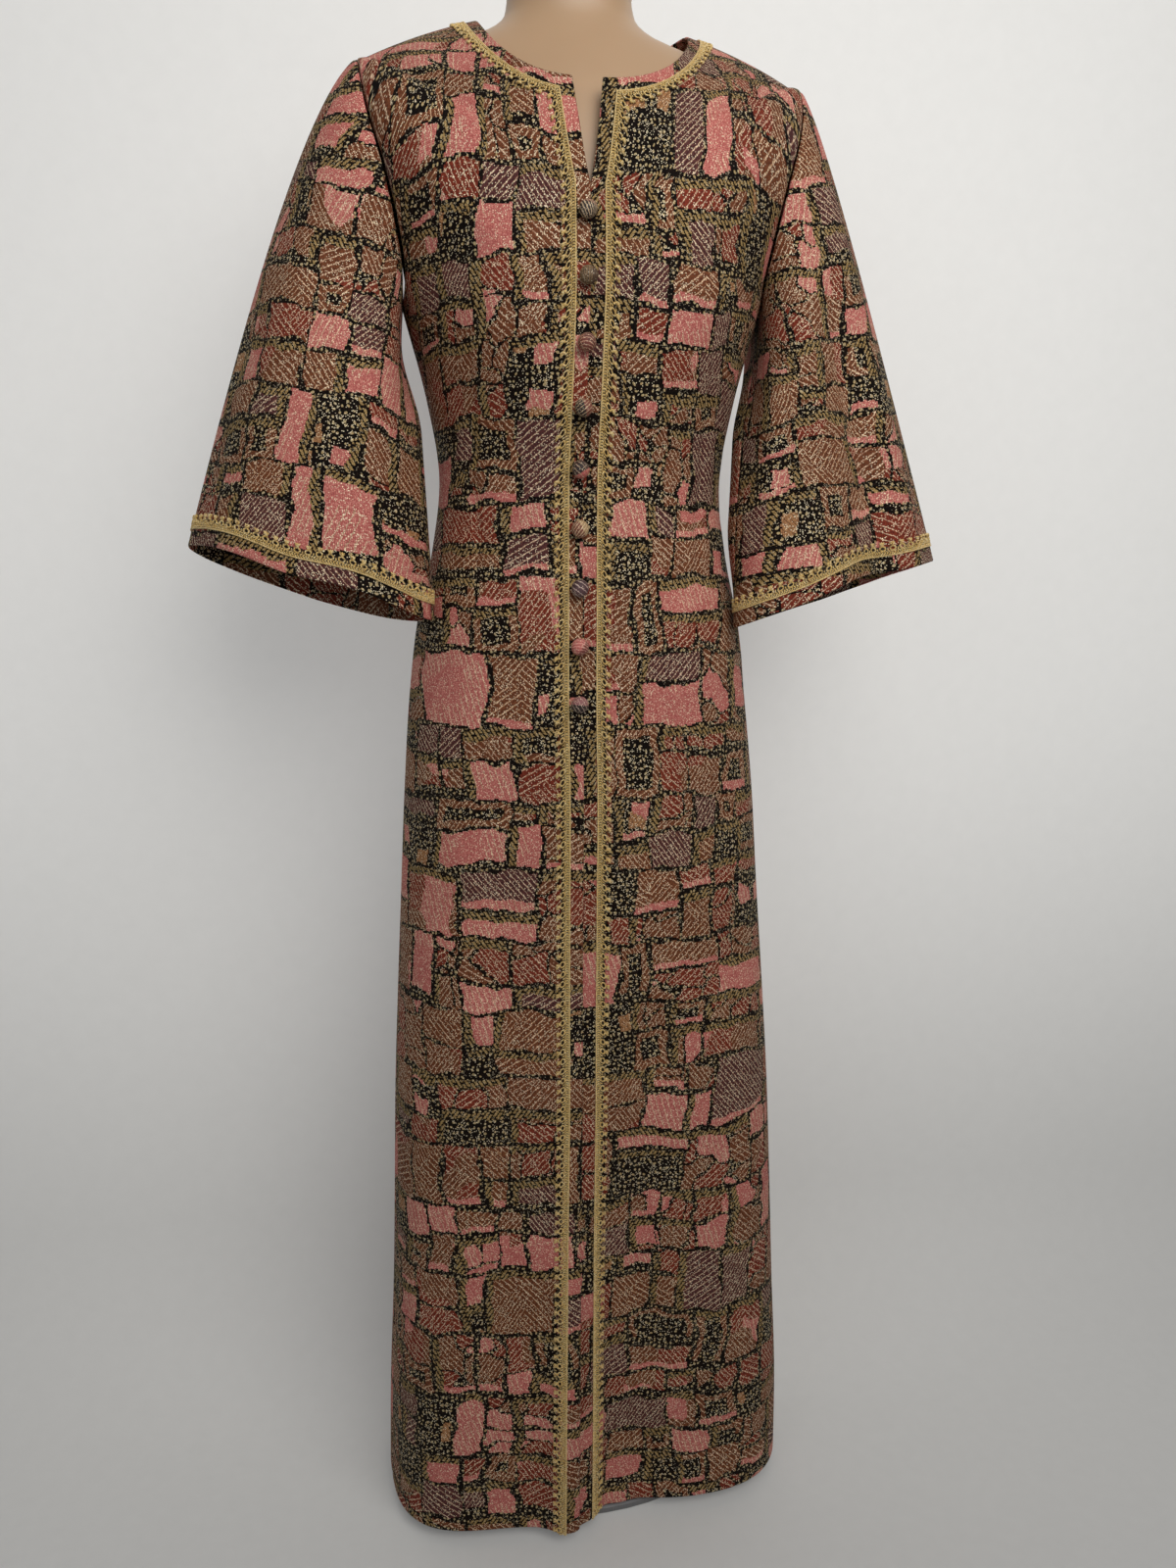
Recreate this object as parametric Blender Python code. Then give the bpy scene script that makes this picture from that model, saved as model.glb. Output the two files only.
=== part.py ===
"""A full-length kaftan with bell sleeves, standing on a limbless dress form.

Every piece of cloth is a wall worked out from short tables. A row of the dress is a
curve from the centre line to the side, and the rows are stacked from the hem, past
the armhole, over the shoulder to the neckline. The sleeves start on the armhole and
open to the cuff. The braid is made from the points of the panel that it lies on.
The front faces -Y, +X is the wearer's left, and the pole stands on the origin.
"""

import math
from collections import namedtuple

import bmesh
import bpy
import numpy as np
from mathutils import Vector

# Driving dimensions, in metres
CLOTH = 0.002
SEAM_GAP = 0.0003
HEM_HEIGHT = 0.014
ARMPIT_HEIGHT = 1.19
SHOULDER_TIP = (0.199, 0.010, 1.396)
NECK_POINT = (0.094, 0.012, 1.437)
SHOULDER_BOW = 0.003
FRONT_NECK_HEIGHT = 1.360
BACK_NECK_HEIGHT = 1.420
NOTCH_HEIGHT = 1.272
NOTCH_HALF_WIDTH = 0.0128
NOTCH_CURVE = 0.8
UNDERLAP = 0.010
LAP_CLEARANCE = 0.0014
LAP_TURN = 0.003
LAP_TAPER = 0.012
LAP_TOP = 0.002
DIP_START = 0.004
DIP_END = 0.030
EDGE_STRIP = 0.0120
BRAID_WIDTH = 0.0135
BRAID_THICKNESS = 0.0012
BRAID_LIFT = 0.0004
CUFF_STRIP = 0.0145
BUTTON_RADIUS = 0.0076
BUTTON_COUNT = 9
BUTTON_TOP = 1.247
BUTTON_PITCH = 0.0504
BUTTON_INSET = 0.0035
BUTTON_HEIGHT = 0.85
BUTTON_LIFT = 0.0012
POLE_RADIUS = 0.0125
BASE_HALF_WIDTH = 0.155
BASE_HALF_DEPTH = 0.078
BASE_THICKNESS = 0.009
BASE_BEVEL = 0.002

# Level sections of the skirt and bodice, from the hem up to the armpit
Section = namedtuple(
    "Section", "height half_width front_depth back_depth fullness centre_x opening_x twist"
)
SECTIONS = (
    Section(0.000, 0.2130, 0.099, 0.125, 0.60, 0.008, -0.018, 2.0),
    Section(0.113, 0.2105, 0.098, 0.122, 0.60, 0.008, -0.018, 2.0),
    Section(0.225, 0.2040, 0.098, 0.120, 0.59, 0.007, -0.017, 1.8),
    Section(0.340, 0.1985, 0.099, 0.118, 0.58, 0.006, -0.016, 1.5),
    Section(0.450, 0.1930, 0.100, 0.117, 0.57, 0.005, -0.014, 1.0),
    Section(0.555, 0.1855, 0.101, 0.117, 0.57, 0.004, -0.013, 0.5),
    Section(0.655, 0.1780, 0.102, 0.119, 0.56, 0.003, -0.012, 0.2),
    Section(0.755, 0.1710, 0.103, 0.122, 0.56, 0.002, -0.011, 0.0),
    Section(0.850, 0.1620, 0.103, 0.121, 0.56, 0.000, -0.011, 0.0),
    Section(0.907, 0.1550, 0.101, 0.113, 0.56, 0.000, -0.011, 0.0),
    Section(0.980, 0.1390, 0.098, 0.094, 0.56, 0.000, -0.011, 0.0),
    Section(1.045, 0.1320, 0.098, 0.084, 0.56, 0.000, -0.011, 0.0),
    Section(1.110, 0.1420, 0.108, 0.091, 0.56, 0.000, -0.010, 0.0),
    Section(1.190, 0.1630, 0.116, 0.105, 0.56, 0.000, -0.009, 0.0),
)

# The centre line above the armpit: how far it stands in front of and behind the pole
Centre = namedtuple("Centre", "height front_depth back_depth")
CENTRES = (
    Centre(1.150, 0.1125, 0.0970),
    Centre(1.190, 0.1160, 0.1050),
    Centre(1.240, 0.1150, 0.1120),
    Centre(1.300, 0.1060, 0.1080),
    Centre(1.366, 0.0870, 0.0920),
    Centre(1.420, 0.0660, 0.0640),
)

# How far a row falls from the neck to the shoulder tip, as a share of the yoke's height
TIP_DROP_SHARE = 0.40

# Handles of a row's curve: station 1 is the armpit, 2 the shoulder tip and 3 the neck.
# The first is a share of the row's width, the second a length along the arrival.
Handle = namedtuple("Handle", "station centre_share side_reach side_x side_z")
FRONT_HANDLES = (
    Handle(1.00, 0.560, 0.065, 0.00, 0.00),
    Handle(1.25, 0.560, 0.038, 0.42, 0.00),
    Handle(1.50, 0.500, 0.032, 0.62, 0.06),
    Handle(1.75, 0.440, 0.040, 0.80, 0.12),
    Handle(2.00, 0.400, 0.056, 0.75, 0.00),
    Handle(2.25, 0.410, 0.056, 0.30, 0.15),
    Handle(2.60, 0.500, 0.050, 0.03, 0.27),
    Handle(3.00, 0.800, 0.042, 0.00, 0.34),
)
BACK_HANDLES = (
    Handle(1.00, 0.560, 0.059, 0.00, 0.00),
    Handle(1.25, 0.580, 0.042, 0.36, 0.00),
    Handle(1.50, 0.540, 0.036, 0.55, -0.08),
    Handle(1.75, 0.480, 0.042, 0.75, -0.30),
    Handle(2.00, 0.430, 0.056, 0.75, -0.50),
    Handle(2.25, 0.440, 0.052, 0.30, -0.36),
    Handle(2.60, 0.500, 0.044, 0.03, -0.29),
    Handle(3.00, 0.600, 0.030, 0.00, -0.34),
)

# The armhole from the armpit to the shoulder tip, read by its share of the height
Armhole = namedtuple("Armhole", "share width")
ARMHOLE = (
    Armhole(0.00, 0.1630),
    Armhole(0.10, 0.1610),
    Armhole(0.30, 0.1665),
    Armhole(0.50, 0.1760),
    Armhole(0.75, 0.1905),
    Armhole(1.00, 0.1990),
)
ARMHOLE_FRONT_DEPTH = 0.056
ARMHOLE_BACK_DEPTH = 0.052

# Soft vertical folds of the skirt, by the angle round the pole from the front
Fold = namedtuple("Fold", "angle width depth top full")
FOLDS = (
    Fold(-63.0, 13.0, 0.0140, 0.98, 0.10),
    Fold(-88.0, 12.0, -0.0100, 0.80, 0.10),
    Fold(-16.0, 11.0, 0.0140, 0.60, 0.02),
    Fold(8.0, 11.0, -0.0140, 0.70, 0.02),
    Fold(30.0, 16.0, -0.0180, 0.80, 0.05),
    Fold(68.0, 14.0, 0.0150, 0.86, 0.20),
    Fold(116.0, 15.0, 0.0100, 0.90, 0.15),
    Fold(146.0, 14.0, -0.0080, 0.85, 0.15),
    Fold(176.0, 24.0, 0.0080, 0.88, 0.15),
    Fold(-150.0, 14.0, -0.0080, 0.84, 0.15),
    Fold(-120.0, 15.0, 0.0110, 0.90, 0.15),
)

# Rounded places that the darts and the form give: the bust and the shoulder blades
SWELL_EDGE = 0.05
Swell = namedtuple("Swell", "x y_side height radius_x radius_z depth")
SWELLS = (
    Swell(-0.082, -1, 1.165, 0.052, 0.062, 0.017),
    Swell(0.082, -1, 1.165, 0.052, 0.062, 0.017),
    Swell(-0.085, 1, 1.270, 0.055, 0.070, 0.006),
    Swell(0.085, 1, 1.270, 0.055, 0.070, 0.006),
)

# The two cuffs: an oval, higher outside, lower at the back and turned in at the front.
# The fold is a dent in the front of the oval, whose edge lifts there.
Cuff = namedtuple(
    "Cuff",
    "centre half_width half_depth outer_rise back_drop inner_forward fold_depth fold_lift",
)
CUFFS = {
    -1: Cuff((0.2537, -0.036, 0.9459), 0.1023, 0.0663, 0.305, 0.192, 0.022, 0.004, -0.0064),
    1: Cuff((0.2401, -0.039, 0.9405), 0.1036, 0.0557, 0.304, 0.134, 0.020, -0.0115, 0.0075),
}

# Which way a sleeve leaves the shoulder tip and reaches the outside of the cuff, sideways
# for each metre down, and how far it holds those two directions
SleeveCut = namedtuple("SleeveCut", "tip_spread outer_slant start_reach end_reach")
SLEEVE_CUTS = {
    -1: SleeveCut(1.15, 0.29, 0.060, 0.170),
    1: SleeveCut(0.67, 0.33, 0.045, 0.150),
}
SLEEVE_FOLD_ANGLE = 95.0
SLEEVE_FOLD_WIDTH = 20.0

# The same directions at the armpit, over the front and back, and inside the cuff
SLEEVE_ARMPIT_SPREAD = 0.05
SLEEVE_SPREAD_CURVE = 1.5
SLEEVE_HEAD_LIFT = 0.0006
SLEEVE_DEPTH_SPREAD = 0.20
SLEEVE_TIP_LIFT = 0.05
CUFF_INNER_SLANT = -0.06
CUFF_DEPTH_SLANT = 0.10

# The dress form, in level sections from its underside to the flat top of its neck
Form = namedtuple("Form", "height half_width front_depth back_depth centre_x centre_y")
FORM_SECTIONS = (
    Form(0.770, 0.100, 0.050, 0.060, 0.000, 0.010),
    Form(0.774, 0.122, 0.064, 0.080, 0.000, 0.010),
    Form(0.785, 0.138, 0.076, 0.096, 0.000, 0.010),
    Form(0.805, 0.148, 0.084, 0.105, 0.000, 0.008),
    Form(0.850, 0.150, 0.088, 0.108, 0.000, 0.006),
    Form(0.907, 0.144, 0.088, 0.100, 0.000, 0.004),
    Form(0.980, 0.128, 0.086, 0.082, 0.000, 0.002),
    Form(1.045, 0.120, 0.086, 0.073, 0.000, 0.000),
    Form(1.110, 0.130, 0.096, 0.080, 0.000, 0.000),
    Form(1.190, 0.150, 0.104, 0.094, 0.000, 0.000),
    Form(1.250, 0.150, 0.102, 0.099, 0.000, 0.000),
    Form(1.300, 0.156, 0.094, 0.096, 0.000, 0.001),
    Form(1.340, 0.165, 0.082, 0.087, -0.001, 0.002),
    Form(1.365, 0.170, 0.073, 0.077, -0.002, 0.004),
    Form(1.385, 0.164, 0.064, 0.066, -0.003, 0.006),
    Form(1.398, 0.146, 0.058, 0.058, -0.005, 0.008),
    Form(1.410, 0.118, 0.053, 0.052, -0.007, 0.010),
    Form(1.422, 0.084, 0.049, 0.048, -0.009, 0.012),
    Form(1.435, 0.064, 0.046, 0.047, -0.010, 0.014),
    Form(1.455, 0.056, 0.045, 0.046, -0.011, 0.015),
    Form(1.498, 0.055, 0.045, 0.046, -0.011, 0.016),
    Form(1.500, 0.052, 0.042, 0.043, -0.011, 0.016),
)
FORM_SIDES = 32

# How finely the walls are divided
LOWER_ROWS = 17
ARMHOLE_ROWS = 12
SHOULDER_ROWS = 4
PANEL_COLUMNS = 11
SLEEVE_ROWS = 8
SLEEVE_ROW_CROWDING = 1.4
BUTTON_SEGMENTS = 10
BUTTON_RINGS = 6
BASE_SIDES = 40
POLE_SIDES = 20
CURVE_SAMPLES = 120
SMALL_STEP = 0.002
SMALL_DISTANCE = 0.0008


def read(table, column, position):
    """Read one column of a table at a position, along a smooth curve through its rows."""
    places = np.array([row[0] for row in table], float)
    values = np.array([getattr(row, column) for row in table], float)
    slopes = np.gradient(values, places)
    position = np.clip(position, places[0], places[-1])
    index = np.clip(np.searchsorted(places, position) - 1, 0, len(places) - 2)
    span = places[index + 1] - places[index]
    t = (position - places[index]) / span
    return (
        values[index] * (1 + 2 * t) * (1 - t) ** 2
        + slopes[index] * span * t * (1 - t) ** 2
        + values[index + 1] * t * t * (3 - 2 * t)
        - slopes[index + 1] * span * t * t * (1 - t)
    )


def ramp(value, start, end):
    """Rise smoothly from 0 at start to 1 at end."""
    t = np.clip((value - start) / (end - start), 0.0, 1.0)
    return t * t * (3 - 2 * t)


def unit(vector):
    return vector / np.linalg.norm(vector, axis=-1, keepdims=True)


def bezier(controls, t):
    """Points of a cubic curve; controls has 4 points and t is a column of shares."""
    t = np.asarray(t, float).reshape(-1, 1)
    a, b, c, d = (np.asarray(point, float) for point in controls)
    return a * (1 - t) ** 3 + 3 * b * t * (1 - t) ** 2 + 3 * c * t * t * (1 - t) + d * t**3


# Centre line, side line and rows of the dress

def armhole_point(face, share):
    """A point of the armhole; share runs from 0 at the armpit to 1 at the shoulder tip."""
    angle = math.pi * share
    rise = (1 - math.cos(angle)) / 2
    depth = -ARMHOLE_FRONT_DEPTH if face == "front" else ARMHOLE_BACK_DEPTH
    width = float(read(ARMHOLE, "width", rise))
    y = SHOULDER_TIP[1] * rise + depth * math.sin(angle)
    return np.array([width, y, ARMPIT_HEIGHT + rise * (SHOULDER_TIP[2] - ARMPIT_HEIGHT)])


def side_point(face, station):
    """The end of a row: side seam up to 1, armhole up to 2, shoulder seam up to 3."""
    if station <= 1:
        height = row_height(station)
        return np.array([float(read(SECTIONS, "half_width", height)), 0.0, height])
    if station <= 2:
        return armhole_point(face, station - 1)
    share = station - 2
    point = np.array(SHOULDER_TIP) * (1 - share) + np.array(NECK_POINT) * share
    point[2] += SHOULDER_BOW * 4 * share * (1 - share)
    return point


def row_height(station):
    """The height of a level row below the armpit."""
    return HEM_HEIGHT + station * (ARMPIT_HEIGHT - HEM_HEIGHT)


def shoulder_length():
    return float(np.linalg.norm(np.array(SHOULDER_TIP) - np.array(NECK_POINT)))


def centre_height(face, station):
    """The height of a row on the centre line; near the neck it runs level with the neckline."""
    if station <= 1:
        return row_height(station)
    top = FRONT_NECK_HEIGHT if face == "front" else BACK_NECK_HEIGHT
    braid_end = EDGE_STRIP + BRAID_WIDTH
    tip_drop = TIP_DROP_SHARE * (top - ARMPIT_HEIGHT)
    if station <= 2:
        return ARMPIT_HEIGHT + (station - 1) * (top - tip_drop - ARMPIT_HEIGHT)
    along_seam = (3 - station) * shoulder_length()
    if along_seam <= braid_end:
        return top - along_seam
    share = (along_seam - braid_end) / (shoulder_length() - braid_end)
    return top - braid_end - share * (tip_drop - braid_end)


def lap_at(height):
    """How far the under front reaches past the opening's line at a height."""
    return UNDERLAP * (1 - ramp(height, NOTCH_HEIGHT - LAP_TAPER, NOTCH_HEIGHT + LAP_TOP))


def opening_point(face, side, station):
    """The start of a row: the front edge, or the middle of the back."""
    height = centre_height(face, station)
    table = SECTIONS if station <= 1 else CENTRES
    if face == "back":
        return np.array([0.0, float(read(table, "back_depth", height)), height])
    x = side * float(read(SECTIONS, "opening_x", height))
    share = np.clip((height - NOTCH_HEIGHT) / (FRONT_NECK_HEIGHT - NOTCH_HEIGHT), 0, 1)
    x += NOTCH_HALF_WIDTH * share**NOTCH_CURVE
    if side > 0:
        x -= lap_at(height)
    return np.array([x, -float(read(table, "front_depth", height)), height])


def row_controls(face, side, station):
    """The four control points of a row, with x measured towards its own side."""
    start = opening_point(face, side, station)
    end = side_point(face, station)
    back = 1.0 if face == "front" else -1.0
    if station <= 1:
        height = row_height(station)
        fullness = float(read(SECTIONS, "fullness", height))
        reach = fullness * (end[0] - start[0])
        side_reach = fullness * abs(start[1])
        arrival = np.array([0.0, back, 0.0])
    else:
        table = FRONT_HANDLES if face == "front" else BACK_HANDLES
        reach = float(read(table, "centre_share", station)) * (end[0] - start[0])
        side_reach = float(read(table, "side_reach", station))
        arrival = np.array(
            [float(read(table, "side_x", station)), back, float(read(table, "side_z", station))]
        )
    start_handle = start + np.array([reach, 0.0, 0.0])
    return start, start_handle, end - side_reach * unit(arrival), end


def swell(points):
    """Push the points out where the bust and the shoulder blades are."""
    moved = points.copy()
    for form in SWELLS:
        near = np.exp(
            -(((points[:, 0] - form.x) / form.radius_x) ** 2)
            - ((points[:, 2] - form.height) / form.radius_z) ** 2
        )
        same_side = ramp(form.y_side * points[:, 1], 0.0, SWELL_EDGE)
        moved[:, 1] += form.y_side * form.depth * near * same_side
    return moved


def fold(points):
    """Push the points in or out along the skirt's soft folds."""
    angle = np.degrees(np.arctan2(points[:, 0], -points[:, 1]))
    outward = np.array(points)
    outward[:, 2] = 0.0
    outward = unit(outward)
    depth = np.zeros(len(points))
    for row in FOLDS:
        away = (angle - row.angle + 180.0) % 360.0 - 180.0
        fade = ramp(-points[:, 2], -row.top, -row.full)
        depth += row.depth * np.exp(-((away / row.width) ** 2)) * fade
    return points + outward * depth[:, None]


def settle(points):
    """Give the plain rows their swells, folds, twist and sideways shift."""
    points = fold(swell(points))
    angle = np.radians(read(SECTIONS, "twist", points[:, 2]))
    shift = read(SECTIONS, "centre_x", points[:, 2])
    x = points[:, 0] * np.cos(angle) - points[:, 1] * np.sin(angle) + shift
    y = points[:, 0] * np.sin(angle) + points[:, 1] * np.cos(angle)
    return np.stack([x, y, points[:, 2]], -1)


def row_curve(face, side, station):
    """A row as a fine line of points, and how far each is along it."""
    curve = bezier(row_controls(face, side, station), np.linspace(0, 1, CURVE_SAMPLES))
    steps = np.linalg.norm(np.diff(curve, axis=0), axis=1)
    return curve, np.concatenate([[0.0], np.cumsum(steps)])


def row_points(face, side, station, distances):
    """Points of a row at distances from its start."""
    curve, lengths = row_curve(face, side, station)
    points = np.stack([np.interp(distances, lengths, curve[:, axis]) for axis in range(3)], -1)
    points[:, 0] *= side
    return settle(points)


def column_distances(face, side, station):
    """Distances of a panel's columns: strip and braid first, then shares of the rest."""
    length = row_curve(face, side, station)[1][-1] - SEAM_GAP / 2
    braid_end = EDGE_STRIP + BRAID_WIDTH
    if face == "back":
        near = [SEAM_GAP / 2]
        far_count = PANEL_COLUMNS + 1
    elif side < 0:
        near = [0.0, EDGE_STRIP, braid_end]
        far_count = PANEL_COLUMNS - 1
    else:
        lap = lap_at(centre_height(face, station))
        near = [0.0, lap + LAP_TURN, lap + EDGE_STRIP, lap + braid_end]
        far_count = PANEL_COLUMNS - 1
    shares = np.linspace(0, 1, far_count + 1)[1:]
    return np.concatenate([near, near[-1] + (length - near[-1]) * shares])


def surface(face, side, station, distances_at):
    """Points of a row and the directions that point out of the dress there."""
    distances = distances_at(station)
    above = min(station + SMALL_STEP, 3.0)
    below = max(station - SMALL_STEP, 0.0)
    upward = row_points(face, side, above, distances_at(above)) - row_points(
        face, side, below, distances_at(below)
    )
    sideways = row_points(face, side, station, distances + SMALL_DISTANCE) - row_points(
        face, side, station, distances - SMALL_DISTANCE
    )
    turn = side if face == "front" else -side
    return row_points(face, side, station, distances), turn * unit(np.cross(sideways, upward))


def row_end(face, side, station):
    """The last point of a row, and the direction that points out of the dress there."""
    points, outward = surface(
        face, side, station, lambda place: row_curve(face, side, place)[1][-1:]
    )
    return points[0], outward[0]


def side_end(side, station):
    """Where the front and the back meet, with one direction for both."""
    ends = [row_end(face, side, station) for face in ("front", "back")]
    return np.mean([end[0] for end in ends], axis=0), unit(ends[0][1] + ends[1][1])


def panel_row(face, side, station):
    """A panel's outer points and outward directions on one row."""
    points, outward = surface(
        face, side, station, lambda place: column_distances(face, side, place)
    )
    if not 1 < station < 2:
        outward[-1] = side_end(side, station)[1]
    if face == "front" and side > 0:
        lap = lap_at(centre_height(face, station))
        distances = column_distances(face, side, station)
        dip = 1 - ramp(distances, lap + LAP_TURN, lap + EDGE_STRIP)
        dip *= 1 - ramp(points[0, 2], NOTCH_HEIGHT + DIP_START, NOTCH_HEIGHT + DIP_END)
        depth = (CLOTH + LAP_CLEARANCE) * dip
        points = points - outward * depth[:, None]
    return points, outward


def panel_stations():
    """The rows of a panel, with one along each edge of the neckline's braid."""
    seam = shoulder_length()
    last_plain = 3 - (EDGE_STRIP + BRAID_WIDTH) / seam
    lower = np.linspace(0, 1, LOWER_ROWS + 1)
    armhole = np.linspace(1, 2, ARMHOLE_ROWS + 1)[1:]
    shoulder = np.linspace(2, last_plain, SHOULDER_ROWS)[1:]
    return np.concatenate([lower, armhole, shoulder, [3 - EDGE_STRIP / seam, 3.0]])


def panel_grid(face, side):
    rows = [panel_row(face, side, station) for station in panel_stations()]
    return np.array([row[0] for row in rows]), np.array([row[1] for row in rows])


# Sleeves

def armhole_loop(side):
    """The armhole, round from the armpit over the front to the tip and down the back."""
    between = np.linspace(1, 2, ARMHOLE_ROWS + 1)[1:-1]
    ends = [side_end(side, 1.0)]
    ends += [row_end("front", side, station) for station in between]
    ends += [side_end(side, 2.0)]
    ends += [row_end("back", side, station) for station in between[::-1]]
    return np.array([end[0] for end in ends]), np.array([end[1] for end in ends])


def around(points):
    """The direction round a closed ring of points."""
    return unit(np.roll(points, -1, axis=0) - np.roll(points, 1, axis=0))


def cuff_ring(side, angles):
    """The edge of a cuff; angle 0 is next to the body, half a turn is outermost."""
    cuff = CUFFS[side]
    away = np.degrees(angles) - SLEEVE_FOLD_ANGLE
    near_fold = np.exp(-((away / SLEEVE_FOLD_WIDTH) ** 2))
    size = 1 + cuff.fold_depth / cuff.half_depth * near_fold
    across = -np.cos(angles) * cuff.half_width
    depth = -np.sin(angles) * cuff.half_depth * size
    height = across * cuff.outer_rise - depth * cuff.back_drop + cuff.fold_lift * near_fold
    depth = depth - np.cos(angles) * cuff.inner_forward
    ring = np.stack([across, depth, height], -1)
    ring[:, 0] *= side
    centre = np.array(cuff.centre) * (side, 1, 1)
    return ring + centre


def sleeve_curves(side):
    """The four control rings of a sleeve, and the directions across the armhole seam."""
    cut = SLEEVE_CUTS[side]
    loop, outward = armhole_loop(side)
    angles = np.arange(len(loop)) * 2 * math.pi / len(loop)
    over_seam = side * np.cross(around(loop), outward)
    start = loop + SEAM_GAP * over_seam + SLEEVE_HEAD_LIFT * outward
    height_share = (1 - np.cos(angles)) / 2
    frontness = np.sin(angles)
    leave = np.stack(
        [
            side * (SLEEVE_ARMPIT_SPREAD + cut.tip_spread * height_share**SLEEVE_SPREAD_CURVE),
            -SLEEVE_DEPTH_SPREAD * frontness,
            -1 + SLEEVE_TIP_LIFT * height_share,
        ],
        -1,
    )
    arrive = np.stack(
        [
            side * (CUFF_INNER_SLANT + (cut.outer_slant - CUFF_INNER_SLANT) * height_share),
            -CUFF_DEPTH_SLANT * frontness,
            -np.ones(len(loop)),
        ],
        -1,
    )
    end = cuff_ring(side, angles)
    controls = (
        start,
        start + cut.start_reach * unit(leave),
        end - cut.end_reach * unit(arrive),
        end,
    )
    return controls, unit(over_seam)


def sleeve_distances(length):
    """Rows of a sleeve as distances from the armhole, with one along each edge of the braid."""
    braid_start = length - CUFF_STRIP - BRAID_WIDTH
    shares = np.linspace(0, 1, SLEEVE_ROWS + 1) ** SLEEVE_ROW_CROWDING
    return np.concatenate([braid_start * shares, [length - CUFF_STRIP, length]])


def sleeve_grid(side):
    """A sleeve's outer and inner points, in rows from the armhole to the cuff."""
    controls, over_seam = sleeve_curves(side)
    columns = []
    for column in range(len(controls[0])):
        curve = bezier([ring[column] for ring in controls], np.linspace(0, 1, CURVE_SAMPLES))
        steps = np.linalg.norm(np.diff(curve, axis=0), axis=1)
        lengths = np.concatenate([[0.0], np.cumsum(steps)])
        distances = sleeve_distances(lengths[-1])
        columns.append(
            np.stack([np.interp(distances, lengths, curve[:, axis]) for axis in range(3)], -1)
        )
    outer = np.array(columns).transpose(1, 0, 2)
    downward = np.gradient(outer, axis=0)
    round_ring = np.array([around(ring) for ring in outer])
    outward = side * unit(np.cross(downward, round_ring))
    inward = -outward
    backwards = np.minimum(0.0, np.sum(inward[0] * over_seam, axis=1))
    inward[0] = unit(inward[0] - backwards[:, None] * over_seam)
    return outer, outward, outer + CLOTH * inward


# Meshes

def wall(outer, inner, used=None, ring=False):
    """A closed wall between two grids of points, over the cells that are used."""
    rows, columns = outer.shape[:2]
    cell_columns = columns if ring else columns - 1
    if used is None:
        used = np.ones((rows - 1, cell_columns), bool)
    mesh = bmesh.new()
    corners = {}

    def corner(layer, row, column):
        key = (layer, row, column % columns)
        if key not in corners:
            points = outer if layer == 0 else inner
            corners[key] = mesh.verts.new(points[key[1], key[2]])
        return corners[key]

    def is_used(row, column):
        if ring:
            column %= cell_columns
        inside = 0 <= row < rows - 1 and 0 <= column < cell_columns
        return inside and used[row, column]

    def skin(layer, row, column, flip):
        a = corner(layer, row, column)
        b = corner(layer, row, column + 1)
        c = corner(layer, row + 1, column + 1)
        d = corner(layer, row + 1, column)
        for triangle in ((a, b, c), (a, c, d)):
            mesh.faces.new(triangle[::-1] if flip else triangle)

    def rim(first, second):
        a = corner(0, *first)
        b = corner(0, *second)
        c = corner(1, *second)
        d = corner(1, *first)
        mesh.faces.new((b, a, d))
        mesh.faces.new((b, d, c))

    for row in range(rows - 1):
        for column in range(cell_columns):
            if not used[row, column]:
                continue
            skin(0, row, column, False)
            skin(1, row, column, True)
            if not is_used(row - 1, column):
                rim((row, column), (row, column + 1))
            if not is_used(row + 1, column):
                rim((row + 1, column + 1), (row + 1, column))
            if not is_used(row, column - 1):
                rim((row + 1, column), (row, column))
            if not is_used(row, column + 1):
                rim((row, column + 1), (row + 1, column + 1))
    return mesh


def loft(rings):
    """A closed solid through level rings of points, with a flat cap at each end."""
    mesh = bmesh.new()
    loops = [[mesh.verts.new(point) for point in ring] for ring in rings]
    for lower, upper in zip(loops, loops[1:]):
        for i, start in enumerate(lower):
            j = (i + 1) % len(lower)
            mesh.faces.new((start, lower[j], upper[j], upper[i]))
    mesh.faces.new(loops[0][::-1])
    mesh.faces.new(loops[-1])
    return mesh


def add_object(name, mesh, material, sharp_angle=50.0):
    """Turn a bmesh into a named object with its faces pointing out."""
    if mesh.calc_volume(signed=True) < 0:
        bmesh.ops.reverse_faces(mesh, faces=mesh.faces)
    data = bpy.data.meshes.new(name)
    mesh.to_mesh(data)
    mesh.free()
    data.shade_smooth()
    data.set_sharp_from_angle(angle=math.radians(sharp_angle))
    data.materials.append(material)
    thing = bpy.data.objects.new(name, data)
    bpy.context.scene.collection.objects.link(thing)
    return thing


def make_material(name, colour, roughness, metallic=0.0):
    material = bpy.data.materials.new(name)
    material.use_nodes = True
    shader = material.node_tree.nodes["Principled BSDF"]
    shader.inputs["Base Color"].default_value = (*colour, 1.0)
    shader.inputs["Roughness"].default_value = roughness
    shader.inputs["Metallic"].default_value = metallic
    return material


# Pieces

def braid_cells(rows, columns, first_column):
    """The cells of a front that its braid covers: up the opening, then along the neckline."""
    used = np.zeros((rows - 1, columns - 1), bool)
    used[: rows - 2, first_column] = True
    used[rows - 3, first_column:] = True
    return used


def add_braid(name, points, outward, used, material, ring=False):
    """A braid that lies on a grid of points, a hair above them."""
    lower = points + BRAID_LIFT * outward
    upper = lower + BRAID_THICKNESS * outward
    return add_object(name, wall(upper, lower, used, ring), material)


def add_fronts(cloth, gold):
    for side, word in ((-1, "right"), (1, "left")):
        points, outward = panel_grid("front", side)
        add_object("front_" + word, wall(points, points - CLOTH * outward), cloth)
        first_column = 1 if side < 0 else 2
        used = braid_cells(*points.shape[:2], first_column)
        add_braid("braid_front_" + word, points, outward, used, gold)


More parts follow.
